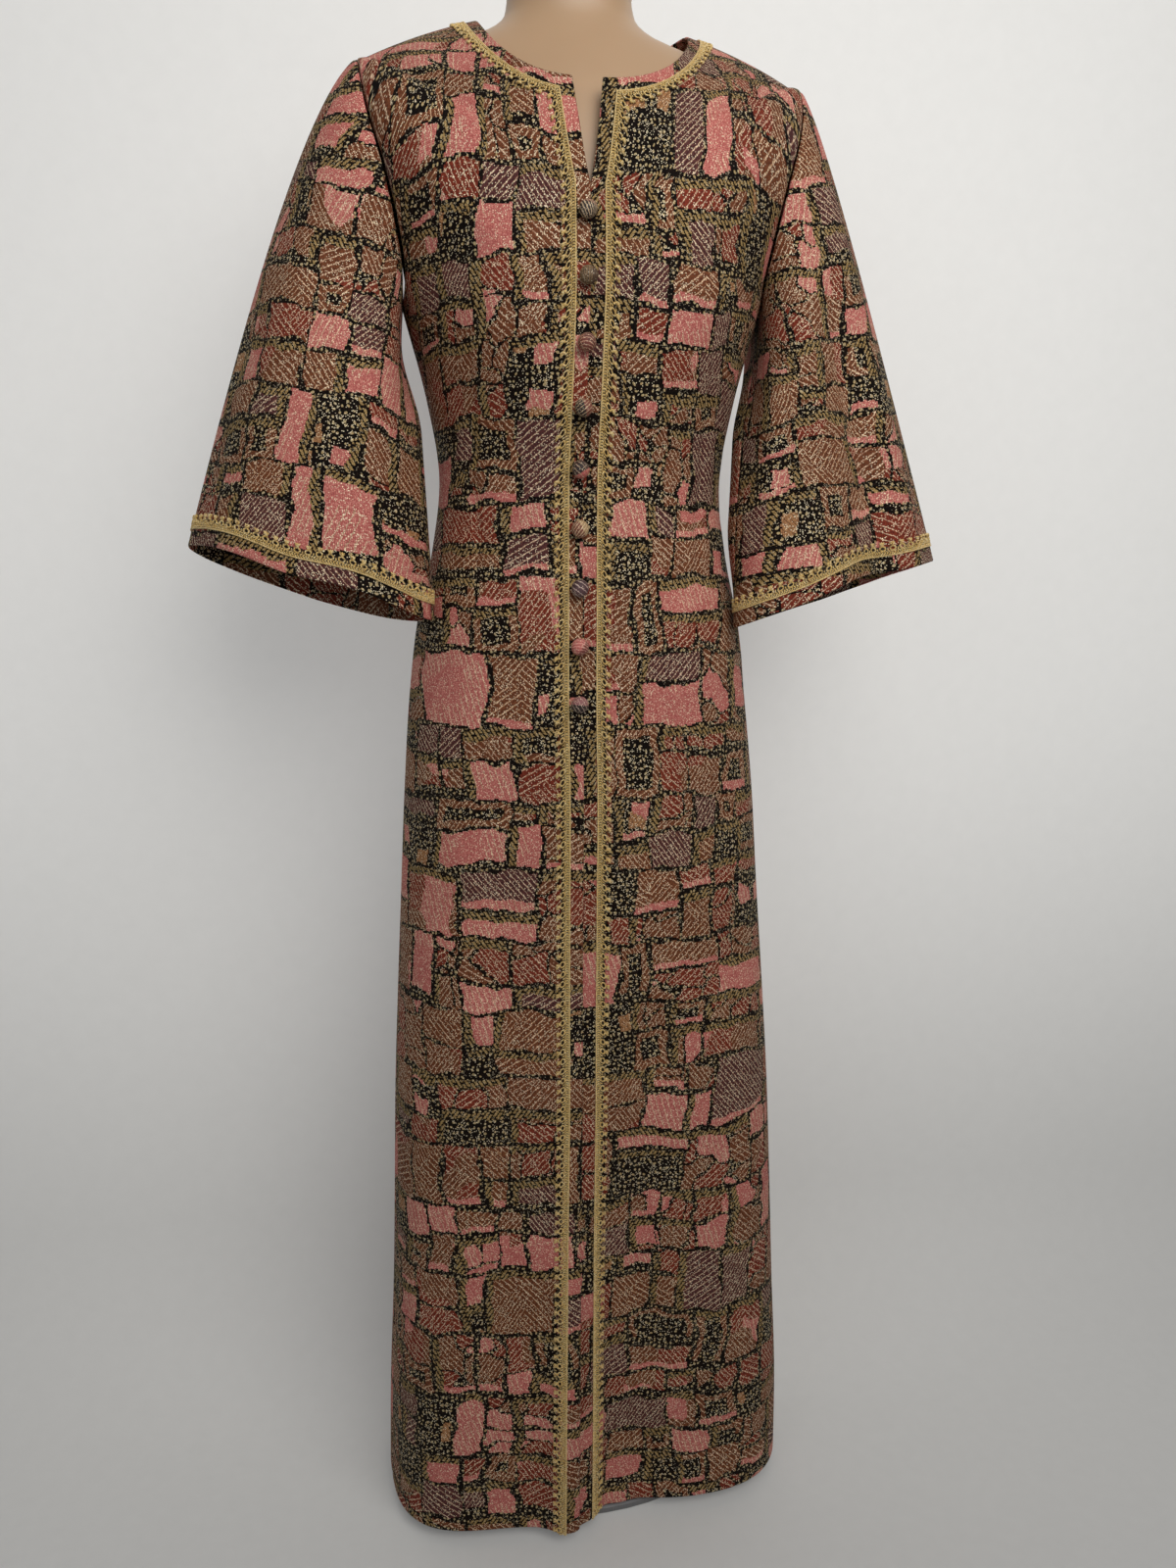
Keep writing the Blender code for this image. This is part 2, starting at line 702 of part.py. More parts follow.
def add_backs(cloth, gold):
    """The two backs meet at a seam in the middle; the neck's braid runs over both."""
    grids = {side: panel_grid("back", side) for side in (-1, 1)}
    for side, word in ((-1, "right"), (1, "left")):
        points, outward = grids[side]
        add_object("back_" + word, wall(points, points - CLOTH * outward), cloth)
    points, outward = (
        np.concatenate([right[:, :0:-1], left], axis=1)
        for right, left in zip(grids[-1], grids[1])
    )
    used = np.zeros((points.shape[0] - 1, points.shape[1] - 1), bool)
    used[-2, :] = True
    add_braid("braid_back_neck", points, outward, used, gold)


def add_sleeves(cloth, gold):
    for side, word in ((-1, "right"), (1, "left")):
        outer, outward, inner = sleeve_grid(side)
        add_object("sleeve_" + word, wall(outer, inner, ring=True), cloth)
        used = np.zeros((outer.shape[0] - 1, outer.shape[1]), bool)
        used[-2, :] = True
        add_braid("braid_cuff_" + word, outer, outward, used, gold, ring=True)


def station_at(height):
    """The row that meets the front's edge at a height."""
    if height <= ARMPIT_HEIGHT:
        return (height - HEM_HEIGHT) / (ARMPIT_HEIGHT - HEM_HEIGHT)
    return 1 + (height - ARMPIT_HEIGHT) / (centre_height("front", 2.0) - ARMPIT_HEIGHT)


def button_mesh(centre, outward):
    """A cloth ball, a little flattened towards the dress."""
    mesh = bmesh.new()
    bmesh.ops.create_uvsphere(
        mesh, u_segments=BUTTON_SEGMENTS, v_segments=BUTTON_RINGS, radius=BUTTON_RADIUS
    )
    bmesh.ops.scale(mesh, verts=mesh.verts, vec=(1, 1, BUTTON_HEIGHT))
    turn = Vector(outward).to_track_quat("Z", "Y").to_matrix()
    bmesh.ops.rotate(mesh, verts=mesh.verts, cent=(0, 0, 0), matrix=turn)
    bmesh.ops.translate(mesh, verts=mesh.verts, vec=centre)
    return mesh


def add_buttons(material):
    for number in range(BUTTON_COUNT):
        station = station_at(BUTTON_TOP - number * BUTTON_PITCH)
        points, outward = surface("front", -1, station, lambda place: np.array([BUTTON_INSET]))
        lift = BUTTON_HEIGHT * BUTTON_RADIUS + BUTTON_LIFT
        centre = points[0] + lift * outward[0]
        mesh = button_mesh(centre, outward[0])
        add_object("button_%d" % (number + 1), mesh, material, sharp_angle=80.0)


def add_form(plastic):
    rings = []
    angles = np.arange(FORM_SIDES) * 2 * math.pi / FORM_SIDES
    for row in FORM_SECTIONS:
        depth = np.where(np.sin(angles) < 0, row.front_depth, row.back_depth)
        ring = np.stack(
            [
                row.centre_x + row.half_width * np.cos(angles),
                row.centre_y + depth * np.sin(angles),
                np.full(FORM_SIDES, row.height),
            ],
            -1,
        )
        rings.append(ring)
    add_object("form_torso", loft(rings), plastic, sharp_angle=60.0)


def circle(radius_x, radius_y, height, sides):
    angles = np.arange(sides) * 2 * math.pi / sides
    return np.stack(
        [radius_x * np.cos(angles), radius_y * np.sin(angles), np.full(sides, height)], -1
    )


def add_stand(steel):
    plate = []
    for inset, height in (
        (BASE_BEVEL, 0.0),
        (0.0, BASE_BEVEL),
        (0.0, BASE_THICKNESS - BASE_BEVEL),
        (BASE_BEVEL, BASE_THICKNESS),
    ):
        plate.append(circle(BASE_HALF_WIDTH - inset, BASE_HALF_DEPTH - inset, height, BASE_SIDES))
    add_object("stand_base", loft(plate), steel)
    foot = BASE_THICKNESS + SEAM_GAP
    top = FORM_SECTIONS[0].height - SEAM_GAP
    pole = [circle(POLE_RADIUS, POLE_RADIUS, height, POLE_SIDES) for height in (foot, top)]
    add_object("stand_pole", loft(pole), steel)


def main():
    for thing in list(bpy.data.objects):
        bpy.data.objects.remove(thing, do_unlink=True)
    cloth = make_material("jacquard_knit", (0.21, 0.105, 0.075), 0.75)
    gold = make_material("gold_braid", (0.60, 0.42, 0.14), 0.45, 0.35)
    covered = make_material("covered_buttons", (0.09, 0.05, 0.04), 0.70)
    plastic = make_material("form_plastic", (0.60, 0.41, 0.29), 0.38)
    steel = make_material("stand_steel", (0.55, 0.55, 0.56), 0.32, 1.0)
    add_fronts(cloth, gold)
    add_backs(cloth, gold)
    add_sleeves(cloth, gold)
    add_buttons(covered)
    add_form(plastic)
    add_stand(steel)


main()
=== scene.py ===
"""Looks of the full-length kaftan: cloth shells, crochet braid, covered buttons and studio."""

import math
from collections import namedtuple

import bpy
import numpy as np
from mathutils import Matrix, Vector


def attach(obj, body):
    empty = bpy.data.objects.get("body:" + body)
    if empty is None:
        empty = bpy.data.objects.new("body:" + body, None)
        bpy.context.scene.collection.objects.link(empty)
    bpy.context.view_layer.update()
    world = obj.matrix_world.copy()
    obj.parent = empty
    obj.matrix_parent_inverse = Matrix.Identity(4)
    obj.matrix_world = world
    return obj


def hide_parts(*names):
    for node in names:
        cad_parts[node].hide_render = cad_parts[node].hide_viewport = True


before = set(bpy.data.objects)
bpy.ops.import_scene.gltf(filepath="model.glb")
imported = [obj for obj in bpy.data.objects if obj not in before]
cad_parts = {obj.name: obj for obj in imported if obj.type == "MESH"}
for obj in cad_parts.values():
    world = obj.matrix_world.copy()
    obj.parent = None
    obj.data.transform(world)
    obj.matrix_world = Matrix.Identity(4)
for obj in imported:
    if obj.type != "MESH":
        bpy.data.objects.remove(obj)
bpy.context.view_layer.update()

# Sizes of the dress, in metres, as the solids have them
CLOTH = 0.002
SHELL = CLOTH * 0.9
HEM_HEIGHT = 0.014
ARMPIT_HEIGHT = 1.19
SHOULDER_TIP = (0.199, 0.010, 1.396)
NECK_POINT = (0.094, 0.012, 1.437)
SHOULDER_BOW = 0.003
FRONT_NECK_HEIGHT = 1.360
BACK_NECK_HEIGHT = 1.420
NOTCH_HEIGHT = 1.272
NOTCH_HALF_WIDTH = 0.0128
NOTCH_CURVE = 0.8
UNDERLAP = 0.010
LAP_CLEARANCE = 0.0014
LAP_TURN = 0.003
LAP_TAPER = 0.012
LAP_TOP = 0.002
DIP_START = 0.004
DIP_END = 0.030
EDGE_STRIP = 0.0120
BRAID_WIDTH = 0.0135
CUFF_STRIP = 0.0145
BUTTON_RADIUS = 0.0076
BUTTON_TOP = 1.247
BUTTON_PITCH = 0.0504
BUTTON_INSET = 0.0035
BUTTON_HEIGHT = 0.85
BUTTON_LIFT = 0.0012

# Level sections of the skirt and bodice, from the hem up to the armpit
Section = namedtuple(
    "Section", "height half_width front_depth back_depth fullness centre_x opening_x twist"
)
SECTIONS = (
    Section(0.000, 0.2130, 0.099, 0.125, 0.60, 0.008, -0.018, 2.0),
    Section(0.113, 0.2105, 0.098, 0.122, 0.60, 0.008, -0.018, 2.0),
    Section(0.225, 0.2040, 0.098, 0.120, 0.59, 0.007, -0.017, 1.8),
    Section(0.340, 0.1985, 0.099, 0.118, 0.58, 0.006, -0.016, 1.5),
    Section(0.450, 0.1930, 0.100, 0.117, 0.57, 0.005, -0.014, 1.0),
    Section(0.555, 0.1855, 0.101, 0.117, 0.57, 0.004, -0.013, 0.5),
    Section(0.655, 0.1780, 0.102, 0.119, 0.56, 0.003, -0.012, 0.2),
    Section(0.755, 0.1710, 0.103, 0.122, 0.56, 0.002, -0.011, 0.0),
    Section(0.850, 0.1620, 0.103, 0.121, 0.56, 0.000, -0.011, 0.0),
    Section(0.907, 0.1550, 0.101, 0.113, 0.56, 0.000, -0.011, 0.0),
    Section(0.980, 0.1390, 0.098, 0.094, 0.56, 0.000, -0.011, 0.0),
    Section(1.045, 0.1320, 0.098, 0.084, 0.56, 0.000, -0.011, 0.0),
    Section(1.110, 0.1420, 0.108, 0.091, 0.56, 0.000, -0.010, 0.0),
    Section(1.190, 0.1630, 0.116, 0.105, 0.56, 0.000, -0.009, 0.0),
)

# The centre line above the armpit: how far it stands in front of and behind the pole
Centre = namedtuple("Centre", "height front_depth back_depth")
CENTRES = (
    Centre(1.150, 0.1125, 0.0970),
    Centre(1.190, 0.1160, 0.1050),
    Centre(1.240, 0.1150, 0.1120),
    Centre(1.300, 0.1060, 0.1080),
    Centre(1.366, 0.0870, 0.0920),
    Centre(1.420, 0.0660, 0.0640),
)

# How far a row falls from the neck to the shoulder tip, as a share of the yoke's height
TIP_DROP_SHARE = 0.40

# Handles of a row's curve: station 1 is the armpit, 2 the shoulder tip and 3 the neck
Handle = namedtuple("Handle", "station centre_share side_reach side_x side_z")
FRONT_HANDLES = (
    Handle(1.00, 0.560, 0.065, 0.00, 0.00),
    Handle(1.25, 0.560, 0.038, 0.42, 0.00),
    Handle(1.50, 0.500, 0.032, 0.62, 0.06),
    Handle(1.75, 0.440, 0.040, 0.80, 0.12),
    Handle(2.00, 0.400, 0.056, 0.75, 0.00),
    Handle(2.25, 0.410, 0.056, 0.30, 0.15),
    Handle(2.60, 0.500, 0.050, 0.03, 0.27),
    Handle(3.00, 0.800, 0.042, 0.00, 0.34),
)
BACK_HANDLES = (
    Handle(1.00, 0.560, 0.059, 0.00, 0.00),
    Handle(1.25, 0.580, 0.042, 0.36, 0.00),
    Handle(1.50, 0.540, 0.036, 0.55, -0.08),
    Handle(1.75, 0.480, 0.042, 0.75, -0.30),
    Handle(2.00, 0.430, 0.056, 0.75, -0.50),
    Handle(2.25, 0.440, 0.052, 0.30, -0.36),
    Handle(2.60, 0.500, 0.044, 0.03, -0.29),
    Handle(3.00, 0.600, 0.030, 0.00, -0.34),
)

# The armhole from the armpit to the shoulder tip, read by its share of the height
Armhole = namedtuple("Armhole", "share width")
ARMHOLE = (
    Armhole(0.00, 0.1630),
    Armhole(0.10, 0.1610),
    Armhole(0.30, 0.1665),
    Armhole(0.50, 0.1760),
    Armhole(0.75, 0.1905),
    Armhole(1.00, 0.1990),
)
ARMHOLE_FRONT_DEPTH = 0.056
ARMHOLE_BACK_DEPTH = 0.052

# Soft vertical folds of the skirt, by the angle round the pole from the front
Fold = namedtuple("Fold", "angle width depth top full")
FOLDS = (
    Fold(-63.0, 13.0, 0.0140, 0.98, 0.10),
    Fold(-88.0, 12.0, -0.0100, 0.80, 0.10),
    Fold(-16.0, 11.0, 0.0140, 0.60, 0.02),
    Fold(8.0, 11.0, -0.0140, 0.70, 0.02),
    Fold(30.0, 16.0, -0.0180, 0.80, 0.05),
    Fold(68.0, 14.0, 0.0150, 0.86, 0.20),
    Fold(116.0, 15.0, 0.0100, 0.90, 0.15),
    Fold(146.0, 14.0, -0.0080, 0.85, 0.15),
    Fold(176.0, 24.0, 0.0080, 0.88, 0.15),
    Fold(-150.0, 14.0, -0.0080, 0.84, 0.15),
    Fold(-120.0, 15.0, 0.0110, 0.90, 0.15),
)

# Rounded places that the darts and the form give: the bust and the shoulder blades
SWELL_EDGE = 0.05
Swell = namedtuple("Swell", "x y_side height radius_x radius_z depth")
SWELLS = (
    Swell(-0.082, -1, 1.165, 0.052, 0.062, 0.017),
    Swell(0.082, -1, 1.165, 0.052, 0.062, 0.017),
    Swell(-0.085, 1, 1.270, 0.055, 0.070, 0.006),
    Swell(0.085, 1, 1.270, 0.055, 0.070, 0.006),
)

# The two cuffs: an oval, higher outside, lower at the back and turned in at the front.
# The fold is a dent in the front of the oval, whose edge lifts there.
Cuff = namedtuple(
    "Cuff",
    "centre half_width half_depth outer_rise back_drop inner_forward fold_depth fold_lift",
)
CUFFS = {
    -1: Cuff((0.2537, -0.036, 0.9459), 0.1023, 0.0663, 0.305, 0.192, 0.022, 0.004, -0.0064),
    1: Cuff((0.2401, -0.039, 0.9405), 0.1036, 0.0557, 0.304, 0.134, 0.020, -0.0115, 0.0075),
}
SleeveCut = namedtuple("SleeveCut", "tip_spread outer_slant start_reach end_reach")
SLEEVE_CUTS = {
    -1: SleeveCut(1.15, 0.29, 0.060, 0.170),
    1: SleeveCut(0.67, 0.33, 0.045, 0.150),
}
SLEEVE_FOLD_ANGLE = 95.0
SLEEVE_FOLD_WIDTH = 20.0
SLEEVE_ARMPIT_SPREAD = 0.05
SLEEVE_SPREAD_CURVE = 1.5
SLEEVE_HEAD_LIFT = 0.0006
SLEEVE_HEAD_SHIFT = 0.0001
SLEEVE_DEPTH_SPREAD = 0.20
SLEEVE_TIP_LIFT = 0.05
CUFF_INNER_SLANT = -0.06
CUFF_DEPTH_SLANT = 0.10

# How finely the shells are divided
CELL = 0.0050
CURVE_SAMPLES = 160
PANEL_RUN = 0.26
ARMHOLE_RUN = 0.24
SLEEVE_HEAD_RUN = 0.25
SMALL_STEP = 0.002
SMALL_DISTANCE = 0.0008
EDGE_ROWS = np.array([0.0, 0.0007, 0.0016, 0.0028, 0.0045])

# Seams are drawn in where two pieces meet, and free edges are turned over a soft round
SEAM_TUCK = 0.0013
SEAM_REACH = 0.0021
EDGE_ROUND = 0.0007
EDGE_REACH = 0.0009

# How creases fade at their ends, and where in the pattern the back and the sleeves lie
CREASE_FADE = 0.25
CREASE_SOFT_END = 0.02
SLEEVE_CREASE_FADE = 0.35
BACK_PATTERN_X = 1.3
BACK_PATTERN_STEP = 0.7
BACK_PATTERN_Y = 0.37
SLEEVE_PATTERN_STEP = 0.35
SLEEVE_PATTERN_Y = 2.2

# Creases pressed into the shells: the piece, a line from x, z to x, z, its half width and height
Crease = namedtuple("Crease", "piece x_start z_start x_end z_end width depth")
CREASES = (
    Crease("front_left", 0.118, 1.300, 0.060, 1.235, 0.010, 0.0016),
    Crease("front_left", 0.140, 1.250, 0.085, 1.205, 0.012, -0.0014),
    Crease("front_left", 0.104, 1.140, 0.098, 0.930, 0.0035, -0.0022),
    Crease("front_left", 0.122, 1.060, 0.080, 1.030, 0.010, 0.0016),
    Crease("front_left", 0.126, 1.010, 0.070, 1.000, 0.012, -0.0014),
    Crease("front_left", 0.150, 0.880, 0.060, 0.850, 0.016, 0.0014),
    Crease("front_left", 0.090, 0.800, 0.110, 0.300, 0.022, 0.0026),
    Crease("front_left", 0.040, 0.620, 0.052, 0.120, 0.018, -0.0022),
    Crease("front_right", -0.150, 1.290, -0.080, 1.220, 0.011, 0.0018),
    Crease("front_right", -0.150, 1.240, -0.095, 1.190, 0.011, -0.0014),
    Crease("front_right", -0.106, 1.130, -0.100, 0.930, 0.0035, -0.0016),
    Crease("front_right", -0.124, 1.060, -0.070, 1.020, 0.010, 0.0016),
    Crease("front_right", -0.120, 1.000, -0.060, 0.985, 0.012, -0.0012),
    Crease("front_right", -0.110, 0.800, -0.122, 0.250, 0.020, 0.0028),
    Crease("front_right", -0.074, 0.700, -0.080, 0.150, 0.018, -0.0024),
    Crease("back_left", 0.130, 1.280, 0.060, 1.220, 0.012, 0.0016),
    Crease("back_right", -0.130, 1.280, -0.060, 1.220, 0.012, 0.0016),
    Crease("back_right", -0.070, 1.140, -0.072, 0.900, 0.0035, -0.0020),
    Crease("back_left", 0.070, 1.140, 0.072, 0.900, 0.0035, -0.0020),
    Crease("back_right", -0.100, 1.010, -0.005, 1.004, 0.012, -0.0018),
    Crease("back_left", 0.005, 1.004, 0.090, 1.000, 0.012, -0.0018),
    Crease("back_left", 0.020, 1.036, 0.100, 1.035, 0.010, 0.0014),
    Crease("back_left", 0.060, 0.800, 0.080, 0.200, 0.024, 0.0030),
    Crease("back_right", -0.050, 0.760, -0.070, 0.200, 0.024, 0.0026),
)

# Creases of the sleeves: the side, a share round the sleeve and a share down it, to another such
# pair, the half width in metres and the height; share 0.25 faces the front, 0.5 is outermost
SleeveCrease = namedtuple("SleeveCrease", "side turn_start down_start turn_end down_end width depth")
SLEEVE_CREASES = (
    SleeveCrease(-1, 0.17, 0.20, 0.16, 1.00, 0.014, 0.0030),
    SleeveCrease(-1, 0.24, 0.30, 0.26, 1.00, 0.016, -0.0030),
    SleeveCrease(-1, 0.33, 0.10, 0.34, 1.00, 0.018, 0.0030),
    SleeveCrease(-1, 0.42, 0.45, 0.43, 1.00, 0.014, -0.0020),
    SleeveCrease(-1, 0.62, 0.20, 0.60, 1.00, 0.018, 0.0030),
    SleeveCrease(-1, 0.75, 0.30, 0.76, 1.00, 0.018, -0.0030),
    SleeveCrease(1, 0.22, 0.10, 0.24, 1.00, 0.013, 0.0046),
    SleeveCrease(1, 0.29, 0.18, 0.30, 1.00, 0.010, -0.0060),
    SleeveCrease(1, 0.36, 0.10, 0.37, 1.00, 0.014, 0.0040),
    SleeveCrease(1, 0.15, 0.30, 0.14, 1.00, 0.012, -0.0030),
    SleeveCrease(1, 0.60, 0.20, 0.62, 1.00, 0.018, 0.0030),
    SleeveCrease(1, 0.76, 0.30, 0.74, 1.00, 0.018, -0.0030),
    SleeveCrease(1, 0.95, 0.10, 0.94, 0.98, 0.032, 0.0130),
    SleeveCrease(-1, 0.97, 0.10, 0.96, 1.00, 0.036, 0.0150),
)


def read(table, column, position):
    """Read one column of a table at a position, along a smooth curve through its rows."""
    places = np.array([row[0] for row in table], float)
    values = np.array([getattr(row, column) for row in table], float)
    slopes = np.gradient(values, places)
    position = np.clip(position, places[0], places[-1])
    index = np.clip(np.searchsorted(places, position) - 1, 0, len(places) - 2)
    span = places[index + 1] - places[index]
    t = (position - places[index]) / span
    return (
        values[index] * (1 + 2 * t) * (1 - t) ** 2
        + slopes[index] * span * t * (1 - t) ** 2
        + values[index + 1] * t * t * (3 - 2 * t)
        - slopes[index + 1] * span * t * t * (1 - t)
    )


def ramp(value, start, end):
    """Rise smoothly from 0 at start to 1 at end."""
    t = np.clip((value - start) / (end - start), 0.0, 1.0)
    return t * t * (3 - 2 * t)


def unit(vector):
    """A direction of length one; many can go in at once."""
    return vector / np.linalg.norm(vector, axis=-1, keepdims=True)


def lengths_along(points):
    """How far each point of a line is from its start."""
    return np.concatenate([[0.0], np.cumsum(np.linalg.norm(np.diff(points, axis=0), axis=1))])


def points_at(places, known, points):
    """Points of a line at some places, from its points at known places."""
    return np.stack([np.interp(places, known, points[:, axis]) for axis in range(3)], -1)


def bezier(controls, t):
    """Points of a cubic curve; controls has 4 points and t is a column of shares."""
    t = np.asarray(t, float).reshape(-1, 1)
    a, b, c, d = (np.asarray(point, float) for point in controls)
    return a * (1 - t) ** 3 + 3 * b * t * (1 - t) ** 2 + 3 * c * t * t * (1 - t) + d * t**3


# The dress's rows, as the solids have them

def armhole_point(face, share):
    """A point of the armhole; share runs from 0 at the armpit to 1 at the shoulder tip."""
    angle = math.pi * share
    rise = (1 - math.cos(angle)) / 2
    depth = -ARMHOLE_FRONT_DEPTH if face == "front" else ARMHOLE_BACK_DEPTH
    width = float(read(ARMHOLE, "width", rise))
    y = SHOULDER_TIP[1] * rise + depth * math.sin(angle)
    return np.array([width, y, ARMPIT_HEIGHT + rise * (SHOULDER_TIP[2] - ARMPIT_HEIGHT)])


def row_height(station):
    """The height of a row of the skirt and bodice."""
    return HEM_HEIGHT + station * (ARMPIT_HEIGHT - HEM_HEIGHT)


def side_point(face, station):
    """The end of a row: side seam up to 1, armhole up to 2, shoulder seam up to 3."""
    if station <= 1:
        height = row_height(station)
        return np.array([float(read(SECTIONS, "half_width", height)), 0.0, height])
    if station <= 2:
        return armhole_point(face, station - 1)
    share = station - 2
    point = np.array(SHOULDER_TIP) * (1 - share) + np.array(NECK_POINT) * share
    point[2] += SHOULDER_BOW * 4 * share * (1 - share)
    return point


SHOULDER_LENGTH = float(np.linalg.norm(np.array(SHOULDER_TIP) - np.array(NECK_POINT)))
BRAID_END = EDGE_STRIP + BRAID_WIDTH


def centre_height(face, station):
    """The height of a row on the centre line; near the neck it runs level with the neckline."""
    if station <= 1:
        return row_height(station)
    top = FRONT_NECK_HEIGHT if face == "front" else BACK_NECK_HEIGHT
    tip_drop = TIP_DROP_SHARE * (top - ARMPIT_HEIGHT)
    if station <= 2:
        return ARMPIT_HEIGHT + (station - 1) * (top - tip_drop - ARMPIT_HEIGHT)
    along_seam = (3 - station) * SHOULDER_LENGTH
    if along_seam <= BRAID_END:
        return top - along_seam
    share = (along_seam - BRAID_END) / (SHOULDER_LENGTH - BRAID_END)
    return top - BRAID_END - share * (tip_drop - BRAID_END)


def lap_at(height):
    """How far the under front reaches past the opening's line at a height."""
    return UNDERLAP * (1 - ramp(height, NOTCH_HEIGHT - LAP_TAPER, NOTCH_HEIGHT + LAP_TOP))


def opening_point(face, side, station):
    """The start of a row: the front edge, or the middle of the back."""
    height = centre_height(face, station)
    table = SECTIONS if station <= 1 else CENTRES
    if face == "back":
        return np.array([0.0, float(read(table, "back_depth", height)), height])
    x = side * float(read(SECTIONS, "opening_x", height))
    share = np.clip((height - NOTCH_HEIGHT) / (FRONT_NECK_HEIGHT - NOTCH_HEIGHT), 0, 1)
    x += NOTCH_HALF_WIDTH * share**NOTCH_CURVE
    if side > 0:
        x -= lap_at(height)
    return np.array([x, -float(read(table, "front_depth", height)), height])


def row_controls(face, side, station):
    """The four control points of a row, with x measured towards its own side."""
    start = opening_point(face, side, station)
    end = side_point(face, station)
    back = 1.0 if face == "front" else -1.0
    if station <= 1:
        fullness = float(read(SECTIONS, "fullness", row_height(station)))
        reach = fullness * (end[0] - start[0])
        side_reach = fullness * abs(start[1])
        arrival = np.array([0.0, back, 0.0])
    else:
        table = FRONT_HANDLES if face == "front" else BACK_HANDLES
        reach = float(read(table, "centre_share", station)) * (end[0] - start[0])
        side_reach = float(read(table, "side_reach", station))
        arrival = np.array(
            [float(read(table, "side_x", station)), back, float(read(table, "side_z", station))]
        )
    return start, start + np.array([reach, 0.0, 0.0]), end - side_reach * unit(arrival), end


def settle(points):
    """Give the plain rows their swells, folds, twist and sideways shift."""
    moved = points.copy()
    for form in SWELLS:
        near = np.exp(
            -(((points[:, 0] - form.x) / form.radius_x) ** 2)
            - ((points[:, 2] - form.height) / form.radius_z) ** 2
        )
        moved[:, 1] += form.y_side * form.depth * near * ramp(form.y_side * points[:, 1], 0.0, SWELL_EDGE)
    angle = np.degrees(np.arctan2(moved[:, 0], -moved[:, 1]))
    outward = unit(moved * (1, 1, 0))
    depth = np.zeros(len(moved))
    for row in FOLDS:
        away = (angle - row.angle + 180.0) % 360.0 - 180.0
        depth += row.depth * np.exp(-((away / row.width) ** 2)) * ramp(-moved[:, 2], -row.top, -row.full)
    points = moved + outward * depth[:, None]
    angle = np.radians(read(SECTIONS, "twist", points[:, 2]))
    shift = read(SECTIONS, "centre_x", points[:, 2])
    x = points[:, 0] * np.cos(angle) - points[:, 1] * np.sin(angle) + shift
    y = points[:, 0] * np.sin(angle) + points[:, 1] * np.cos(angle)
    return np.stack([x, y, points[:, 2]], -1)


curve_cache = {}


def row_curve(face, side, station):
    """A row as a fine line of points, and how far each is along it."""
    key = (face, side, round(float(station), 7))
    if key not in curve_cache:
        curve = bezier(row_controls(face, side, station), np.linspace(0, 1, CURVE_SAMPLES))
        curve_cache[key] = curve, lengths_along(curve)
    return curve_cache[key]


def row_points(face, side, station, distances):
    """Points of a row at distances from its start."""
    curve, lengths = row_curve(face, side, station)
    points = points_at(distances, lengths, curve)
    points[:, 0] *= side
    return settle(points)


def surface(face, side, station, distances_at):
    """Points of a row and the directions that point out of the dress there."""
    distances = distances_at(station)
    above = min(station + SMALL_STEP, 3.0)
    below = max(station - SMALL_STEP, 0.0)
    upward = row_points(face, side, above, distances_at(above)) - row_points(
        face, side, below, distances_at(below)
    )
    sideways = row_points(face, side, station, distances + SMALL_DISTANCE) - row_points(
        face, side, station, distances - SMALL_DISTANCE
    )
    turn = side if face == "front" else -side
    outward = turn * unit(np.cross(sideways, upward))
    points = row_points(face, side, station, distances)
    if face == "front" and side > 0:
        lap = lap_at(centre_height(face, station))
        dip = 1 - ramp(distances, lap + LAP_TURN, lap + EDGE_STRIP)
        dip = dip * (1 - ramp(points[0, 2], NOTCH_HEIGHT + DIP_START, NOTCH_HEIGHT + DIP_END))
        points = points - outward * ((CLOTH + LAP_CLEARANCE) * dip)[:, None]
    return points, outward


def row_end(face, side, station):
    """The last point of a row, and the direction that points out of the dress there."""
    points, outward = surface(
        face, side, station, lambda place: row_curve(face, side, place)[1][-1:]
    )
    return points[0], outward[0]


def side_end(side, station):
    """Where the front and the back meet, with one direction for both."""
    ends = [row_end(face, side, station) for face in ("front", "back")]
    return np.mean([end[0] for end in ends], axis=0), unit(ends[0][1] + ends[1][1])


# Sleeves, as the solids have them

def around(points):
    """The direction along a closed ring at each of its points."""
    return unit(np.roll(points, -1, axis=0) - np.roll(points, 1, axis=0))


def cuff_ring(side, angles):
    """The edge of a cuff; angle 0 is next to the body, half a turn is outermost."""
    cuff = CUFFS[side]
    away = np.degrees(angles) - SLEEVE_FOLD_ANGLE
    near_fold = np.exp(-((away / SLEEVE_FOLD_WIDTH) ** 2))
    size = 1 + cuff.fold_depth / cuff.half_depth * near_fold
    across = -np.cos(angles) * cuff.half_width
    depth = -np.sin(angles) * cuff.half_depth * size
    height = across * cuff.outer_rise - depth * cuff.back_drop + cuff.fold_lift * near_fold
    depth = depth - np.cos(angles) * cuff.inner_forward
    ring = np.stack([across, depth, height], -1)
    ring[:, 0] *= side
    return ring + np.array(cuff.centre) * (side, 1, 1)


